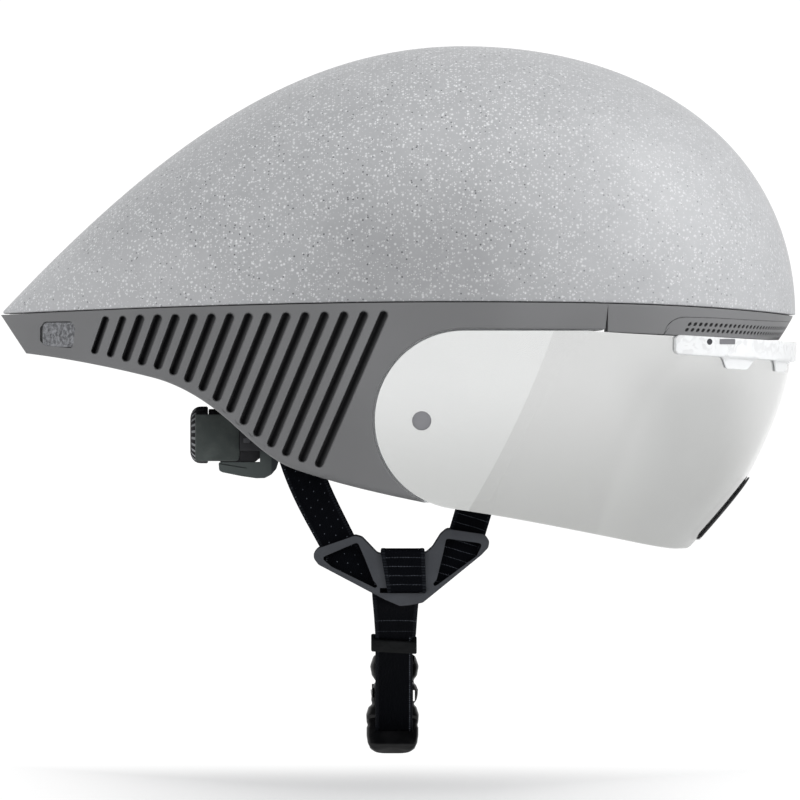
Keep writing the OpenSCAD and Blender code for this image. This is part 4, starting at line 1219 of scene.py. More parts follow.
class Strip:
    """The face of the grille, gathered as points, faces and painted shades; s runs along it and v up it."""

    def __init__(self):
        self.points, self.faces, self.painted_shade = [], [], []
        self.angles = brow_angles(GRILLE_START, 1201)
        self.length = sum(math.dist(wrap(a, 0), wrap(b, 0)) for a, b in zip(self.angles, self.angles[1:]))

    def angle(self, s):
        t = clamp01(s / self.length) * (len(self.angles) - 1)
        k = min(int(t), len(self.angles) - 2)
        return mix(self.angles[k], self.angles[k + 1], t - k)

    def add(self, s, v, d=0.0, shade=0.0):
        """Adds a point, set back by d and with painted shade, and returns its number. The rows lean back from
        the nose.
        """
        middle = self.length / 2
        lean = clamp01(abs(s - middle) / 11) * math.copysign(1.5 * HOLE_PITCH, middle - s)
        f = self.angle(s + lean * (v - 0.48))
        x = wrap_x(f)
        low, high = brow_low_z(x), brow_split_z(x) - SEAT
        self.points.append(brow_point(f, mix(low, high, v), 0.1 + d))
        self.painted_shade.append(shade)
        return len(self.points) - 1

    def cell(self, s0, s1, v0, v1):
        """A plain cell, sixteen points round its edge."""
        made = []
        for k in range(RING):
            side, t = divmod(k, 4)
            t /= 4
            u, v = ((t, 0), (1, t), (1 - t, 1), (0, 1 - t))[side]
            made.append(self.add(mix(s0, s1, u), mix(v0, v1, v)))
        return made

    def hole(self, around, s0, s1, v0, v1):
        """A slanted oval hole inside a cell."""
        for size, d, shade in HOLE_RINGS:
            inner = []
            for k in range(RING):
                a = math.tau * (k - 2) / RING - math.pi / 2
                u, v = 0.5 + 0.34 * size * math.cos(a), 0.5 + 0.38 * size * math.sin(a)
                inner.append(self.add(mix(s0, s1, u), mix(v0, v1, v), d, shade))
            for k in range(RING):
                m = (k + 1) % RING
                self.faces.append((around[k], around[m], inner[m], inner[k]))
            around = inner
        self.faces.append(tuple(around))


def make_grille():
    """A strip with two rows of holes, plain at both ends, with a wall behind its edges."""
    strip = Strip()
    columns = int(strip.length // HOLE_PITCH)
    pitch = strip.length / columns
    for c in range(columns):
        s0, s1 = c * pitch, (c + 1) * pitch
        holed = abs((s0 + s1) / 2 - strip.length / 2) < strip.length / 2 - 11.5
        for v0, v1, shade0, shade1 in PLAIN_STRIPS:
            corners = ((s0, v0, shade0), (s1, v0, shade0), (s1, v1, shade1), (s0, v1, shade1))
            strip.faces.append(tuple(strip.add(s, v, 0, shade) for s, v, shade in corners))
        for v0, v1 in HOLE_ROWS:
            outer = strip.cell(s0, s1, v0, v1)
            if holed:
                strip.hole(outer, s0, s1, v0, v1)
            else:
                strip.faces.append(tuple(outer))
    piece = tidied(raw_piece("vent_strip", strip.points, strip.faces, {"painted_shade": strip.painted_shade}), 0.02)
    with reshaped(piece) as shape:
        edges = [e for e in shape.edges if len(e.link_faces) == 1]
        made = bmesh.ops.extrude_edge_only(shape, edges=edges)
        for v in [g for g in made["geom"] if isinstance(g, bmesh.types.BMVert)]:
            x, y, _ = v.co / MM
            v.co -= Vector((x - FRONT_X * 0.2, y, 0)).normalized() * GRILLE_T * MM
    dressed(piece, "body", "helmet", "mesh", "brow_vent_grille")


def lens_side_y(z):
    return HALF_W - LENS_INSET - LENS_LEAN * (LENS_TOP_Z - z)


def lens_front_x(z):
    return NOSE_X - 2 - 0.02987 * max(-5 - z, 0) ** 1.6


def lens_plan(u, z, d):
    """A point of the lens in plan. u is (0, x) along the side or (1, angle) round the front."""
    kind, value = u
    if kind == 0:
        return (value, -(lens_side_y(z) - d))
    reach = (lens_front_x(z) - FRONT_X - d) * math.sin(value) ** (2 / FRONT_N)
    return (FRONT_X + reach, -(lens_side_y(z) - d) * max(math.cos(value), 0) ** (2 / FRONT_N))


def lens_high(u):
    x = lens_plan(u, 0, 0)[0]
    if x < LENS_X:
        return LENS_Z + math.sqrt(max(LENS_R ** 2 - (x - LENS_X) ** 2, 0))
    return mix(LENS_TOP_Z, -0.9, clamp01((x - 30) / 97) ** 0.8)


LENS_CHIN_X = LENS_X + LENS_R * math.sin(math.atan(LENS_SLOPE))
LENS_CHIN_Z = LENS_Z - LENS_R * math.cos(math.atan(LENS_SLOPE))
LENS_LOW = [(0, 0, LENS_SLOPE), (51, -8.8, -0.195), (88.6, -15.9, -0.18), (108.4, -18.8, -0.1)]
NOTCH_TOP_Z = -64.9


def notch_z(y):
    return NOTCH_TOP_Z - (y / 8.1) ** 2


def lens_low(u):
    x, y = lens_plan(u, -90, 0)
    if x < LENS_CHIN_X:
        return LENS_Z - math.sqrt(max(LENS_R ** 2 - (x - LENS_X) ** 2, 0))
    edge = LENS_CHIN_Z + curve(LENS_LOW, min(x - LENS_CHIN_X, 108.4))
    notch = notch_z(y)
    return (edge + notch + math.sqrt((edge - notch) ** 2 + 3)) / 2


def make_lens():
    """The wrapped lens, with a round hole on each side and a notch for the nose."""
    # Columns: round the rear end, along the side, and round the front by angle
    us = [(0, LENS_X - LENS_R * math.cos(math.radians(90 * i / 40))) for i in range(1, 41)]
    us += [(0, mix(LENS_X, FRONT_X, i / 16)) for i in range(1, 17)]
    us += [(1, math.pi / 2 * (i / 72) ** 0.92) for i in range(1, 73)]
    rows = 48

    def face(d):
        grid = []
        for u in us:
            zs = [mix(lens_low(u), lens_high(u), j / rows) for j in range(rows + 1)]
            grid.append([(*lens_plan(u, z, d), z) for z in zs])
        return grid + [[(x, -y, z) for x, y, z in line] for line in grid[-2::-1]]

    piece = slab("face_lens", face(0), face(LENS_T))
    for side in (-1, 1):

        def place(u, v, w):
            return (HOLE_X + u, side * w, HOLE_Z + v)

        cut(piece, prism("drill", ring_of(HOLE_R, 48), 70, 110, place))
    dressed(piece, "lens", "visor", "lens", "visor_lens", sharp=30)


BRIDGE_START = 24.7
BRIDGE_GAP = 0.35
BRIDGE_T = 2.2
TAB_H = 5.0


def bridge_high(x):
    return mix(2.3, -0.9, clamp01((x - 69) / 57))


def bar_low(x):
    """Lower edge of the bridge's bar, from which the tabs hang."""
    return mix(-6.8, -10.3, clamp01((x - 69) / 57))


def bridge_low(f, x):
    y = abs(wrap(f, 0)[1])
    tab = smooth((y - 26) / 3) * smooth((47 - y) / 4) + smooth((y - 62) / 5) * smooth((78 - y) / 2.5)
    return bar_low(x) - TAB_H * min(tab, 1)


def round_lens(f, z, d):
    """A point at distance d in front of the lens, at an angle round the brow."""
    a = lens_front_x(z) - FRONT_X + d
    b = lens_side_y(z) + d
    return (FRONT_X + a * math.sin(f) ** (2 / FRONT_N), -b * signed_pow(math.cos(f), 2 / FRONT_N), z)


def bridge_point(f, v, d):
    x0 = wrap_x(f)
    start = math.radians(BRIDGE_START)
    near = clamp01((min(f, math.pi - f) - start) / math.radians(1.2))
    high, low = bridge_high(x0), bridge_low(f, x0)
    half = (high - low) / 2 * (1 - 0.35 * (1 - near) ** 2)
    return round_lens(f, (high + low) / 2 + half * (2 * v - 1), d)


def on_bridge(f, z):
    """A place on the left side of the bridge, the way along it and the way out of it."""
    def at(g):
        x, y, _ = round_lens(g, z, BRIDGE_GAP)
        return Vector((x, -y, z))

    p, q = at(f), at(f + 0.02)
    along = (q - p).normalized()
    out = Vector((-along.y, along.x, 0))
    if out.y < 0:
        out = -out
    return p, along, out


def make_bridge():
    """The clear strip along the top of the lens, with tabs, magnet seats and screw holes."""
    rows = 22
    angles = brow_angles(BRIDGE_START, 221)

    def face_point(f, v):
        # The tabs are thinner than the bar above them
        z = bridge_point(f, v, 0)[2]
        thick = BRIDGE_T * (1 - 0.7 * smooth((bar_low(wrap_x(f)) + 0.6 - z) / 1.2))
        return bridge_point(f, v, BRIDGE_GAP + thick)

    front = [[face_point(f, j / rows) for j in range(rows + 1)] for f in angles]
    back = [[bridge_point(f, j / rows, BRIDGE_GAP) for j in range(rows + 1)] for f in angles]
    piece = slab("clear_bridge", front, back)
    # Each hole: its angle round the brow, its height, its outline and how deep it starts
    holes = ((41, -0.9, fillet(box(-4.7, 4.7, -1.3, 1.3), 0.6, 4), 0.9), (34.9, -1.0, ring_of(0.85), -2),
             (34.9, -1.0, ring_of(1.5), BRIDGE_T - 1))
    tools = []
    for f, z, outline, low in holes:
        p, along, out = on_bridge(math.radians(f), z)
        for side in (1, -1):

            def place(u, v, w, p=p, along=along, out=out, side=side):
                q = p + along * u + out * w + Vector((0, 0, v))
                return (q.x, q.y * side, q.z)

            tools.append(prism("drill", outline, low, 12, place))
    cut(piece, *tools)
    rounded(piece, 0.45, 3, 50)
    dressed(piece, "clear", "visor", "clear", "visor_bridge", sharp=30)


def make_nose_seal():
    """A soft channel round the edge of the nose notch, with a painted highlight on its lip below."""
    inner = -LENS_T - 0.4
    # Rise above the notch's edge and distance out from the lens
    profile = [(0.4, 0.4), (0.4, 1.05), (0.2, 1.3), (-0.55, 1.3), (-0.65, 1.05), (-0.75, 1.3), (-1.7, 1.25),
               (-1.9, 1.0), (-1.9, inner - 0.6), (-1.7, inner - 0.9), (2.7, inner - 0.9), (3.0, inner - 0.6),
               (3.0, inner), (-0.9, inner), (-0.9, 0.4)]
    steps, half = 72, 42
    points, rim = [], []
    for i in range(steps + 1):
        y = mix(-half, half, i / steps)
        for rise, d in profile:
            z = notch_z(y) + rise
            reach = max(1 - min(abs(y) / (lens_side_y(z) + d), 0.99) ** FRONT_N, 0) ** (1 / FRONT_N)
            points.append((FRONT_X + (lens_front_x(z) - FRONT_X + d) * reach, y, z))
            # The outer lower lip is marked for the painted highlight
            rim.append(1.0 if rise < -0.7 and d > 0.9 else 0.0)
    faces = tube_faces(steps + 1, len(profile))
    piece = tidied(raw_piece("nose_strip", points, faces, {"rim": rim}))
    dressed(piece, "nose", "visor", "seal", "nose_seal")


# Straps


def spline(points, steps):
    """A smooth path through points."""
    pts = [Vector(p) for p in points]
    made = []
    for i in range(len(pts) - 1):
        p0 = pts[i - 1] if i else pts[0] * 2 - pts[1]
        p1, p2 = pts[i], pts[i + 1]
        p3 = pts[i + 2] if i + 2 < len(pts) else p2 * 2 - p1
        for k in range(steps):
            t = k / steps
            made.append(0.5 * ((p1 * 2) + (p2 - p0) * t + (p0 * 2 - p1 * 5 + p2 * 4 - p3) * t * t
                               + (p1 * 3 - p0 - p2 * 3 + p3) * t ** 3))
    made.append(pts[-1])
    return made


# Upper half of a strap's section, in shares of its width and thickness
WEB_PROFILE = [(-0.5, 0.0), (-0.49, 0.34), (-0.465, 0.5), (-0.42, 0.5), (-0.4, 0.42), (-0.2, 0.42),
               (0.0, 0.42), (0.2, 0.42), (0.4, 0.42), (0.42, 0.5), (0.465, 0.5), (0.49, 0.34), (0.5, 0.0)]


def webbing(name, path, across, widths, thick, closed=False):
    """A woven strap: a flat ribbon with thicker selvedges, laid along a path of points."""
    flat = Vector(across).normalized()
    n = len(path)
    profile = WEB_PROFILE + [(u, -v) for u, v in reversed(WEB_PROFILE[1:-1])]
    m = len(profile)
    points = []
    data = {"across": [], "along": [], "edge": []}
    run = 0.0
    for i in range(n):
        a = path[(i - 1) % n] if closed else path[max(i - 1, 0)]
        b = path[(i + 1) % n] if closed else path[min(i + 1, n - 1)]
        out = (b - a).cross(flat).normalized()
        if i:
            run += (path[i] - path[i - 1]).length
        width = mix(widths[0], widths[1], i / (n - 1))
        for u, v in profile:
            points.append(path[i] + flat * u * width + out * v * thick)
            data["across"].append(u * width)
            data["along"].append(run)
            data["edge"].append(abs(u) * 2)
    if closed:
        last = (n - 1) * m
        faces = grid_faces(n, m, closed=True)
        faces += [(last + j, last + (j + 1) % m, (j + 1) % m, j) for j in range(m)]
    else:
        faces = tube_faces(n, m)
    piece = raw_piece(name, points, faces, data)
    with reshaped(piece):
        return piece


REAR_TOP, REAR_MID, REAR_LOW = (-126, 69, 9), (-102.3, 75.2, -66), (-85.5, 75, -100)
FRONT_TOP, FRONT_MID, FRONT_LOW = (2, 83, 9), (-25.3, 75.2, -84), (-29.2, 75, -96.6)
DIVIDER = (-60, 76, -94)
DIVIDER_T = 3
LOOP_X = DIVIDER[0] + 2.5


def halfway(a, b):
    return tuple(mix(a[i], b[i], 0.5) for i in range(3))


def make_side_straps():
    """The rear and the front strap from the helmet down to the divider."""
    rear_path = spline([REAR_TOP, halfway(REAR_TOP, REAR_MID), REAR_MID, REAR_LOW], 16)
    front_path = spline([FRONT_TOP, halfway(FRONT_TOP, FRONT_MID), FRONT_MID, FRONT_LOW], 16)
    runs = (("rear_strap", rear_path, (0.94, 0, 0.33), "dotted", (20.8, 16.4)),
            ("front_strap", front_path, (0.958, 0, -0.287), "webbing", (STRAP_W, STRAP_W - 0.6)))
    for name, path, across, finish, widths in runs:
        left = webbing(name + "_web_left", path, across, widths, WEB_T)
        dressed_pair(left, finish, "helmet", "webbing", name)


DIVIDER_OUTLINE = [(-39.2, -5.6), (-37.3, -3.6), (-19.7, 2.5), (-16.5, 1.5), (-9.1, -6.2), (13.4, -5.8),
                   (16.5, -3), (20.2, 2.9), (23.3, 5.6), (40.6, 3.1), (43.1, 0), (42.6, -3.2), (39.4, -6.6),
                   (11.9, -29), (5.9, -30.2), (1.2, -30.6), (-5.8, -27.6), (-36.9, -11.2), (-39, -8.4)]
REAR_WINDOW = [(-35.5, -8), (-18.6, -0.8), (-15.1, -8.8), (-11.3, -18.6), (-9.3, -21.2), (-10.3, -22.1),
               (-30.7, -12.1)]
FRONT_WINDOW = [(22.9, 1), (39.8, -1.4), (37, -7.1), (19.1, -20.3), (17.4, -21.2), (16.8, -20.2),
                (18.5, -18.1), (21.7, -5)]
WINDOW_ROUND = 1.4


def on_divider(u, v, w):
    return (DIVIDER[0] + u, DIVIDER[1] + w, DIVIDER[2] + v)


def make_dividers():
    """A flat plate with rounded edges, a window for each side strap and a slot for the loop."""
    middle, half = LOOP_X - DIVIDER[0], CHIN_W / 2 + 0.2
    windows = [fillet(REAR_WINDOW, WINDOW_ROUND, 4), fillet(FRONT_WINDOW, WINDOW_ROUND, 4),
               box(middle - half, middle + half, -24.4, -22.2)]
    left = prism("divider_plate_left", fillet(DIVIDER_OUTLINE, 3.0, 5), 0, DIVIDER_T, on_divider)
    cut(left, *[prism("window", shape, -5, 10, on_divider) for shape in windows])
    rounded(left, 0.6, 3, 40)
    dressed_pair(left, "divider", "helmet", "divider", "divider", sharp=35)


def make_window_webs():
    """The straps fan out to fill the windows of the divider from behind."""
    for name, window, across, finish in (("rear", REAR_WINDOW, (0.94, 0.33), "dotted"),
                                         ("front", FRONT_WINDOW, (0.958, -0.287), "webbing")):
        middle = (sum(p[0] for p in window) / len(window), sum(p[1] for p in window) / len(window))
        grown = [pushed(p, middle, 1.3) for p in fillet(window, WINDOW_ROUND, 4)]
        left = prism(name + "_window_web_left", grown, -SEAT - WEB_T, -SEAT - 0.1, on_divider)
        data = {"across": [], "along": []}
        for v in left.data.vertices:
            u, w = v.co.x / MM - DIVIDER[0] - middle[0], v.co.z / MM - DIVIDER[2] - middle[1]
            data["across"].append(u * across[0] + w * across[1])
            data["along"].append(w * across[0] - u * across[1])
        for key, values in data.items():
            left.data.attributes.new(key, "FLOAT", "POINT").data.foreach_set("value", values)
        dressed_pair(left, finish, "helmet", "webbing")


LOOP_LOW = DIVIDER[2] - 22.9
LOOP_TOP = DIVIDER[2] - 5.8 + SEAT


def make_strap_loops():
    """A flat loop of webbing over the top of the divider and through its slot."""
    gap = SEAT + WEB_T / 2
    y0, y1 = DIVIDER[1] - gap, DIVIDER[1] + DIVIDER_T + gap
    z0, z1 = LOOP_LOW - WEB_T / 2, LOOP_TOP + WEB_T / 2
    ring = fillet([(y1, z1), (y1, z0), (y0, z0), (y0, z1)], 1.2, 5)
    path = []
    for i, p in enumerate(ring):
        q = ring[(i + 1) % len(ring)]
        steps = max(int(math.dist(p, q) / 1.2), 1)
        path += [Vector((LOOP_X, *on_way(p, q, t / steps))) for t in range(steps)]
    left = webbing("loop_web_left", path, (1, 0, 0), (CHIN_W, CHIN_W), WEB_T, closed=True)
    # The loop narrows and leans forward towards its lower end
    for v in left.data.vertices:
        low = clamp01((z1 * MM - v.co.z) / ((z1 - z0) * MM))
        v.co.x = LOOP_X * MM + (v.co.x - LOOP_X * MM) * (1 - 0.12 * low) + 1.9 * MM * low
    dressed_pair(left, "webbing", "helmet", "webbing", "strap_loop")


BUCKLE = (-62.3, -2.8, -192.8)
BUCKLE_H = 9
MALE_L, FEMALE_L, MALE_H = 18, 43, 6.4
NOTCH_R = 1.8
LEG_X = -60.8
SHIFT = LEG_X - BUCKLE[0]
TURN = math.radians(45)


def on_buckle(x, y, z):
    """A point of the buckle's own frame, which leans with the left leg."""
    return Vector((BUCKLE[0] + x, BUCKLE[1] + y * math.cos(TURN) - z * math.sin(TURN),
                   BUCKLE[2] + y * math.sin(TURN) + z * math.cos(TURN)))


LOOP_IN_Y = DIVIDER[1] - SEAT - WEB_T
LEG_TOP = (LEG_X, LOOP_IN_Y - SEAT - WEB_T, LOOP_LOW + 6)
LEG_BEND = (LEG_X, LOOP_IN_Y - SEAT - WEB_T - 0.5, -121)
RIGHT_BEND = Vector((LEG_BEND[0], -LEG_BEND[1], LEG_BEND[2]))
RIGHT_LOW = on_buckle(SHIFT, 11, BUCKLE_H / 2 + 0.6)
RIGHT_DIR = (RIGHT_LOW - RIGHT_BEND).normalized()
CHIN_SEEN = 27
TONGUE_SEEN = 17.4
TONGUE_ASIDE = -0.8


def make_chin_straps():
    """The strap on each side down to the seam or the buckle, and the short strap that blends between."""
    right_top = Vector((LEG_TOP[0], -LEG_TOP[1], LEG_TOP[2]))
    end = RIGHT_BEND + RIGHT_DIR * CHIN_SEEN
    path = spline([right_top, RIGHT_BEND, RIGHT_BEND + RIGHT_DIR * 12, end], 12)
    piece = webbing("chin_web_right", path, (1, 0, 0), (CHIN_W + 2.4, CHIN_W - 1.6), WEB_T * 2)
    dressed(piece, "seamed", "helmet", "webbing", "chin_strap_right")

    female_end = on_buckle(SHIFT, MALE_L + FEMALE_L + 1, 0)
    leg = spline([Vector(LEG_TOP), Vector(LEG_BEND), mix(Vector(LEG_BEND), female_end, 0.5), female_end], 14)
    ring = fillet([(1.0, 3.3), (1.0, -3.3), (-5.0, -3.3), (-5.0, 3.3)], [1.2] * 4, 4)
    bar = [on_buckle(SHIFT, MALE_L + FEMALE_L + y, z) for y, z in ring]
    left = webbing("chin_web_left", leg, (1, 0, 0), (TONGUE_W, TONGUE_W), WEB_T)
    loop = webbing("chin_web_loop", bar, (1, 0, 0), (TONGUE_W, TONGUE_W), WEB_T, closed=True)
    dressed(left, "webbing", "helmet", "webbing", "chin_strap_left")
    dressed(loop, "webbing", "helmet", "webbing")

    # The strap that the male half holds moves with it and stays sewn at its top
    low = on_buckle(SHIFT, 11, -MALE_H / 2 - 1)
    aside = Vector((TONGUE_ASIDE, 0, 0))
    path = spline([p + aside for p in (end - RIGHT_DIR * 0.5, mix(end, RIGHT_LOW, 0.4), RIGHT_LOW, low)], 14)
    tongue = webbing("buckle_web", path, (1, 0, 0), (TONGUE_SEEN, TONGUE_SEEN), WEB_T)
    dressed(tongue, "stitched", None, "webbing", "buckle_strap")
    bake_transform(tongue, "helmet", "buckle_male", start=tuple((end + RIGHT_DIR * 10) * MM),
             end=tuple((RIGHT_LOW - RIGHT_DIR * 4) * MM))


KEEPER_H = 8.4


def make_keeper():
    """A soft sleeve round the strap."""
    middle = RIGHT_BEND + RIGHT_DIR * (CHIN_SEEN + 1 + 5.8) + Vector((TONGUE_ASIDE, 0, 0))
    up = Vector((0, -RIGHT_DIR.z, RIGHT_DIR.y))
    half_w, half_t = TONGUE_SEEN / 2 + 2, WEB_T / 2 + 1.5

    def place(u, v, w):
        return middle + Vector((u, 0, 0)) + up * v + RIGHT_DIR * (w + 0.09 * u)

    outline = fillet(box(-half_w, half_w, -half_t, half_t), 1.0, 5)
    hole = fillet(box(-9, 9, -1.0, 1.0), 0.5, 4)
    piece = prism("keeper_sleeve", outline, -KEEPER_H / 2, KEEPER_H / 2, place)
    cut(piece, prism("hole", hole, -6, 6, place))
    rounded(piece, 0.4, 2, 40)
    dressed(piece, "seal", "keeper", "seal", "keeper")


# Half width of the buckle's lobes at heights along its lean
LOBES = [(-3.2, 6.6), (-1.2, 8.9), (1.5, 10.6), (5.5, 11.75), (10.1, 12.2), (14.8, 12.2), (16.75, 11.7),
         (18.75, 12.2), (23.4, 12.4), (28, 11.5), (30.7, 10.1), (33.4, 11.0), (38.7, 11.4), (42.7, 10.3),
         (45.3, 8.7), (50, 10.8), (55.3, 11.4), (62, 10.1), (65.3, 8.5)]


def lobe_width(rise):
    """Half width of the buckle at a height along its lean."""
    if rise <= LOBES[0][0]:
        return LOBES[0][1]
    for (a, wa), (b, wb) in zip(LOBES, LOBES[1:]):
        if rise <= b:
            t = (rise - a) / (b - a)
            return mix(wa, wb, smooth(t) * 0.5 + t * 0.5)
    return LOBES[-1][1]


def lofted(name, stations, place):
    """A rounded body through stations (along, trim, half height); its width follows the lobes."""
    m = 56
    points = []
    for along, trim, h in stations:
        for k in range(m):
            a = math.tau * k / m
            z = h * signed_pow(math.sin(a), 0.55)
            w = lobe_width(along + z) - trim
            aside = 0.9 * smooth((along + z - 28) / 8)
            points.append(place(w * signed_pow(math.cos(a), 0.45) + aside, along, z))
    return tidied(raw_piece(name, points, tube_faces(len(stations), m)))


def box_tool(x0, x1, y0, y1, z0, z1):
    return prism("tool", box(x0, x1, y0, y1), z0, z1, on_buckle)


def make_buckle():
    """The female half, open for the arms, and the male half with its guide."""
    y0, y1 = MALE_L + SEAT, MALE_L + FEMALE_L
    stations = []
    for i in range(73):
        trim = (0.9, 0.35, 0.1, 0)[min(i, 72 - i, 3)]
        stations.append((mix(y0, y1, i / 72), trim, BUCKLE_H / 2 - trim))
    female = lofted("buckle_socket", stations, on_buckle)
    tools = [box_tool(-10, 10, y0 - 1, y0 + 27.5, -2.5, 2.5),
             box_tool(SHIFT - 8.8, SHIFT + 8.8, y1 - 8, y1 - 4, -10, 10),
             box_tool(SHIFT - 8.8, SHIFT + 8.8, y1 - 5, y1 + 6, 2.3, 10),
             box_tool(SHIFT - 8.8, SHIFT + 8.8, y1 - 5, y1 + 6, -10, -2.3)]
    for side in (-1, 1):
        low, high = sorted((side * 9.4, side * 14))
        tools.append(box_tool(low, high, y0 + 9, y0 + 23, -2.5, 2.5))
    # A narrow gap beside each upper lobe lets the background show through
    for left, right, start, end in ((-9.8, -8.5, 34.7, 41.3), (9.2, 10.5, 32.4, 39.7)):
        x0, x1 = BUCKLE[0] + left, BUCKLE[0] + right
        z0, z1 = (BUCKLE[2] + rise * math.sin(TURN) for rise in (start, end))
        gap = fillet(box(x0, x1, z0, z1), 0.4, 3)
        tools.append(prism("tool", gap, -40, 80, lambda u, v, w: (u, w, v)))
    cut(female, *tools)
    dressed(rounded(female, 0.35, 2, 40), "buckle", "helmet", "buckle", "buckle_female", sharp=35)

    stations = []
    for i in range(37):
        trim = (1.2, 0.6, 0.25, 0.1, 0)[min(i, 4)]
        stations.append((mix(0, MALE_L, i / 36), trim, MALE_H / 2 - trim))
    male = lofted("buckle_plug", stations, on_buckle)
    joined(male, box_tool(-1.8, 1.8, MALE_L - 1, MALE_L + 25, -1.6, 1.6))
    tools = [box_tool(SHIFT - 9.8, SHIFT + 8.4, 9.5, 12.5, -10, 10)]
    for side in (-1, 1):
        tools.append(prism("tool", ring_of(NOTCH_R, 32, (side * 6.6, MALE_L)), -5, 5, on_buckle))
    cut(male, *tools)
    dressed(rounded(male, 0.35, 2, 40), "buckle", "buckle_male", "buckle", "buckle_male", sharp=35)


# Pads and fit system
PAD_GAP = 0.45
PAD_T = 6
DIAL_Z = -44.6
CRADLE_X = -113
# Rear and front face of the cradle's bar, from CRADLE_X
BAR_X = (-20.8, -17.8)
FIT_PIN = (-32, 78, 2)
FIT_T = 1.6
FIT_H = 9
HUB_R = 7
PIN_BORE_R = 2.55


def pad_t(s, v, t):
    """Thickness of a pad, which thins out towards its edges."""
    return 1.2 + (t - 1.2) * (1 - (2 * s - 1) ** 4) * (1 - (2 * v - 1) ** 4)


def padded(piece, cap, voxel=2.2):
    """Swells a pad with cloth pressure and smooths it."""
    remesh = piece.modifiers.new("remesh", "REMESH")
    remesh.mode = "VOXEL"
    remesh.voxel_size = voxel * MM
    applied(piece)
    start = [v.co.copy() for v in piece.data.vertices]
    cloth = piece.modifiers.new("cloth", "CLOTH")
    cloth.settings.use_pressure = True
    cloth.settings.uniform_pressure_force = 4
    cloth.settings.effector_weights.gravity = 0
    cloth.settings.quality = 4
    for number in range(1, 21):
        scene.frame_set(number)
    applied(piece)
    scene.frame_set(1)
    for v, home in zip(piece.data.vertices, start):
        move = v.co - home
        if move.length > cap * MM:
            v.co = home + move.normalized() * cap * MM
    relax = piece.modifiers.new("relax", "SMOOTH")
    relax.factor = 0.5
    relax.iterations = 4
    fine = piece.modifiers.new("fine", "SUBSURF")
    fine.levels = 1
    return applied(piece)


def pad_slab(name, n, m, place, low, high):
    """A cushion of n by m cells. place turns two shares and a depth into a point."""
    grids = []
    for depth in (low, high):
        grids.append([[place(i / n, j / m, depth(i / n, j / m)) for j in range(m + 1)] for i in range(n + 1)])
    return slab(name, *grids)


def cavity_patch(q0, q1, a0, a1):
    """Places on the head cavity between two stations and two angles."""
    return lambda s, v, d: cavity(mix(q0, q1, s), math.radians(mix(a0, a1, v)), d)


def on_brow(s, v, d):
    return cavity_ring(math.radians(mix(28.6, 151.4, s)), mix(19.5, 42.5, v), d)


def on_nape(s, v, d):
    return (CRADLE_X + BAR_X[1] + SEAT + d, mix(5.4, 33.1, s), DIAL_Z + mix(-6.6, 6.6, v))


def make_pads():
    """Cushions on the brow, the crown, both sides and the nape."""
    low = lambda s, v: PAD_GAP
    high = lambda s, v: PAD_GAP + pad_t(s, v, PAD_T) - 0.5
    on_crown = cavity_patch(0.363, 0.657, 76.8, 103.2)
    on_side = cavity_patch(0.363, 0.617, 145.6, 169.4)
    for name, n, m, place in (("brow", 40, 10, on_brow), ("crown", 26, 12, on_crown)):
        piece = padded(pad_slab(name + "_cushion", n, m, place, low, high), 1.2)
        dressed(piece, "pad", "helmet", "pad", name + "_pad", sharp=80)
    side = padded(pad_slab("side_cushion_left", 24, 12, on_side, low, high), 1.2)
    for piece in dressed_pair(side, "pad", "helmet", "pad", "side_pad", sharp=80):
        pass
    nape = pad_slab("nape_cushion_left", 18, 9, on_nape, lambda s, v: pad_t(s, v, 6.6), lambda s, v: 0)
    for piece in dressed_pair(padded(nape, 0.8), "pad", "cradle", "pad", "occipital_pad", sharp=80):
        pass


def make_fit_arms():
    """Flexible arms from the temple pins to the cradle."""
    path = [(-32, 78), (-46, 76.6), (-58, 72.8), (-68, 67), (-77, 60), (-84, 54), (-90, 50), (-96, 48),
            (-128, 48)]
    line = spline([(x, y, 0) for x, y in path], 8)
    front, back = [], []
    rows = 8
    for i, p in enumerate(line):
        a, b = line[max(i - 1, 0)], line[min(i + 1, len(line) - 1)]
        d = (b - a).normalized()
        s = clamp01((FIT_PIN[0] - p.x) / (FIT_PIN[0] + 96))
        z = mix(FIT_PIN[2], DIAL_Z, 0.5 * (smooth(s) + s))
        for grid, side in ((front, FIT_T / 2), (back, -FIT_T / 2)):
            foot = (p.x + d.y * side, p.y - d.x * side)
            grid.append([(*foot, z + FIT_H * (j / rows - 0.5)) for j in range(rows + 1)])
    left = rounded(slab("fit_band_left", front, back), 0.35, 2, 40)

    def on_pin(u, v, w):
        return (FIT_PIN[0] + u, FIT_PIN[1] + w, FIT_PIN[2] + v)

    joined(left, prism("hub", ring_of(HUB_R, 48), -FIT_T, FIT_T, on_pin))
    cut(left, prism("bore", ring_of(PIN_BORE_R, 32), -10, 10, on_pin))
    dressed_pair(left, "fit", "fit_arms", "fit", "fit_arm")


BRACKET = [(-30.8, -12.8), (-30.5, -16.7), (-28.9, -17.5), (-20, -19.3), (-13, -20.3), (-9.1, -20.2),
           (-6.3, -18.7), (-4, -16), (-3, -12.7), (-3, 0.6), (-11.4, 0.6), (-11.4, -12.75)]
BRACKET_ROUND = [0.8, 1.5, 1.5, 2, 2, 2, 2, 2, 2, 0.8, 0.8, 0.3]
RATCHET = [(-20.5, 0.6), (-20.5, -12.7), (-13.9, -12.7), (-11.4, -10.7), (-11.4, 0.6)]


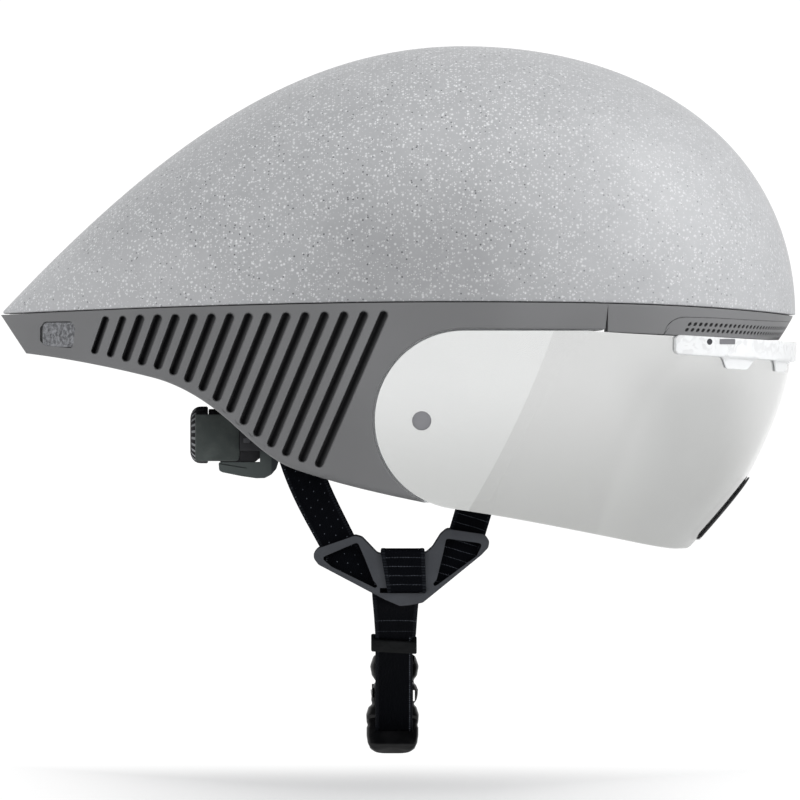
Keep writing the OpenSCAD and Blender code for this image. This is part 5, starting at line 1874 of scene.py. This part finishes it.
def make_cradle():
    """A sleeve on each arm with a bar between them; below each sleeve a bracket and a dark ratchet box."""

    def on_side(u, v, w):
        return (CRADLE_X + u, w, DIAL_Z + v)

    def across(y, z, x):
        return (CRADLE_X + x, y, DIAL_Z + z)

    bar = prism("cradle_bar", fillet(box(-45, 45, -7.5, 7.5), 1.5, 4), *BAR_X, across)
    dressed(rounded(bar, 0.5, 2, 40), "dial", "cradle", "fit", "cradle")
    sleeve = prism("cradle_sleeve_left", fillet(box(45, 51, -7.5, 7.5), 1.2, 4), BAR_X[0], 0, across)
    cut(sleeve, prism("slot", fillet(box(46.9, 49.1, -4.8, 4.8), 0.3, 4), -24, 4, across))
    bracket = prism("cradle_bracket_left", fillet(BRACKET, BRACKET_ROUND, 4), 35, 46, on_side)
    groove = [(-32, -12.9), (-17.5, -15.3), (-17.5, -15.8), (-32, -13.4)]
    cut(bracket, prism("groove", groove, 45.1, 48, on_side))
    ratchet = prism("cradle_ratchet_left", fillet(RATCHET, 0.3, 3), 36, 45.4, on_side)
    latch = prism("cradle_latch_left", fillet(box(-19.1, -15.8, -3.7, -1.3), 0.6, 4), 50.8, 51.5, on_side)
    for left, finish, width in ((sleeve, "dial", 0.5), (bracket, "bracket", 1.1), (ratchet, "dial", 0.4),
                                (latch, "screw", 0.2)):
        dressed_pair(rounded(left, width, 3, 40), finish, "cradle", "fit")


DIAL_REAR_X = -157.3
DIAL_W = 8.3
DIAL_R = 13.4
RIBS = 24
CORE_R = 12.2
SHAFT_BORE_R = 3.05
HOUSING_X = (-148.7, -134.1)
GUARD_REAR_X = -154.9


def on_dial(y, z, x):
    return (x, y, DIAL_Z + z)


def make_dial():
    """The knob has a round rear rim with ribs; a guard plate stands on each side of its housing."""
    profile = [(0, 2.0), (0, 8.2), (0.25, 9.6), (1.0, 11.3), (2.1, 12.5), (3.4, 13.2), (5.0, DIAL_R),
               (DIAL_W - 0.5, DIAL_R), (DIAL_W, DIAL_R - 0.5), (DIAL_W, 2.9)]
    m = RIBS * 8
    points, ribs = [], []
    for x, r in profile:
        for k in range(m):
            a = math.tau * k / m
            groove = 0.55 * smooth((math.cos(a * RIBS) - 0.1) / 0.7) if 9 < r else 0
            points.append(on_dial((r - groove) * math.cos(a), (r - groove) * math.sin(a), DIAL_REAR_X + x))
            # Marks the ribs of the rear rim for the knob's painted highlight
            ribs.append(smooth(-math.cos(a * RIBS) * 2 - 0.4) if 0.9 < x < 2.5 else 0.0)
    last = (len(profile) - 1) * m
    faces = grid_faces(len(profile), m, closed=True)
    faces += [(k, (k + 1) % m, (k + 1) % m + last, k + last) for k in range(m)]
    knob = tidied(raw_piece("grip_knob", points, faces, {"rib": ribs}))
    dressed(knob, "knob", "fit_dial", "dial", "dial_knob", sharp=30)

    rear, front = HOUSING_X
    core = prism("dial_core", ring_of(CORE_R, 96), rear, front, on_dial)
    cut(core, prism("bore", ring_of(SHAFT_BORE_R), rear - 5, front + 5, on_dial))
    dressed(rounded(core, 0.4, 2, 40), "dial", "cradle", "fit", "dial_housing")
    for side, name in ((1, "left"), (-1, "right")):

        def on_side(u, v, w, side=side):
            return (u, side * w, DIAL_Z + v)

        guard = fillet(box(GUARD_REAR_X, front, -12.3, 9.7), [0.6, 2.6, 2.6, 0.6], 6)
        plate = prism("guard_plate_" + name, guard, 14, 17, on_side)
        dressed(rounded(plate, 0.5, 3, 40), "fit", "cradle", "fit")
        web = fillet([(rear, 8.8), (front + 0.9, 8.8), (front + 0.9, -14.6), (-143.2, -14.2),
                      (-143.2, -8.8), (rear, -8.8)], 0.6, 4)
        brace = prism("guard_web_" + name, web, 10.4, 14.2, on_side)
        dressed(rounded(brace, 0.3, 2, 40), "dial", "cradle", "fit")


# Stage
CAMERA_TARGET = Vector((-58.75, 0, -28.2)) * MM
CAMERA_AWAY = 15.0
FRAME_W = 0.376
SENSOR_W = 36.0
FLOOR_Z = -0.2005
WHITE = (1, 1, 1, 1)
# Each lamp: its direction from the helmet, its distance, its width and its level
LAMPS = (("key", (0.52, -0.26, 0.74), 1.9, 1.3, 0.37), ("near", (0.66, -0.66, 0.34), 0.46, 0.25, 0.36),
         ("rear", (-0.74, -0.476, 0.476), 1.9, 1.0, 0.32), ("far", (0.05, 0.78, 0.62), 1.9, 1.2, 0.1))


def make_camera():
    """The camera stands level with the helmet's right side, far off with a long lens."""
    data = bpy.data.cameras.new("camera")
    data.sensor_width = SENSOR_W
    data.lens = SENSOR_W * CAMERA_AWAY / FRAME_W
    data.clip_end = 100
    camera = bpy.data.objects.new("camera", data)
    scene.collection.objects.link(camera)
    camera.location = CAMERA_TARGET + Vector((0, -CAMERA_AWAY, 0))
    camera.rotation_euler = (math.radians(90), 0, 0)
    scene.camera = camera


def make_world():
    """A white background over a soft, dimmer light."""
    world = bpy.data.worlds.new("studio")
    scene.world = world
    world.use_nodes = True
    light = world.node_tree.nodes["Background"]
    light.inputs[0].default_value = (0.97, 0.98, 1.0, 1)
    light.inputs[1].default_value = 0.42
    sky = Nodes(world.node_tree)
    white = sky.node("ShaderNodeBackground", {}, {0: WHITE, 1: 1.0})
    sky.shown(sky.seen(), Value(sky, light.outputs[0]), white, "World Output")


def make_floor():
    """The floor rises gently away from the camera and passes just under the buckle."""
    near, far, side = -3.0, 5.0, 6.0
    rise = math.tan(math.radians(10))
    mesh = bpy.data.meshes.new("floor")
    mesh.from_pydata([(x, y, FLOOR_Z + y * rise) for x, y in box(-side, side, near, far)], [], [(0, 1, 2, 3)])
    floor = bpy.data.objects.new("floor", mesh)
    scene.collection.objects.link(floor)
    # White all round, with the shadow left in front of the buckle, where the camera sees the floor
    f = Finish("floor", (0.9, 0.9, 0.9), 0.9)
    glow = f.node("ShaderNodeEmission", {}, {0: WHITE, 1: 1.06})
    place = f.node("ShaderNodeNewGeometry", {}, {}, "Position")
    x, y = (f.node("ShaderNodeSeparateXYZ", {}, {0: place}, k) for k in (0, 1))
    plain = abs(x + 0.055).step(0.02, 0.24).greater(y.step(-0.06, 0.02))
    f.shown(f.seen() * plain, Value(f, f.shader.outputs[0]), glow, "Material Output")
    floor.data.materials.append(f.material)
    floor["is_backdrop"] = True


def make_lamps():
    """Round area lamps. Only the key shows in reflections."""
    for name, way, away, width, level in LAMPS:
        place = Vector(way).normalized() * away
        data = bpy.data.lights.new(name, "AREA")
        data.shape = "DISK"
        data.size = width
        data.energy = level * (math.pi * away) ** 2
        lamp = bpy.data.objects.new(name, data)
        lamp.location = place
        lamp.rotation_euler = (-place).to_track_quat("-Z", "Y").to_euler()
        lamp.visible_glossy = name == "key"
        scene.collection.objects.link(lamp)


make_camera()
make_world()
make_floor()
make_lamps()
finish_cad_nodes()
make_shell()
make_liner()
make_side_panels()
make_brow_band()
make_grille()
make_lens()
make_bridge()
make_nose_seal()
make_side_straps()
make_dividers()
make_window_webs()
make_strap_loops()
make_chin_straps()
make_keeper()
make_buckle()
make_fit_arms()
make_cradle()
make_dial()
make_pads()

low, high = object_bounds()
sizes = {"cad": [list(cad_low), list(cad_high)], "visual": [list(low), list(high)]}
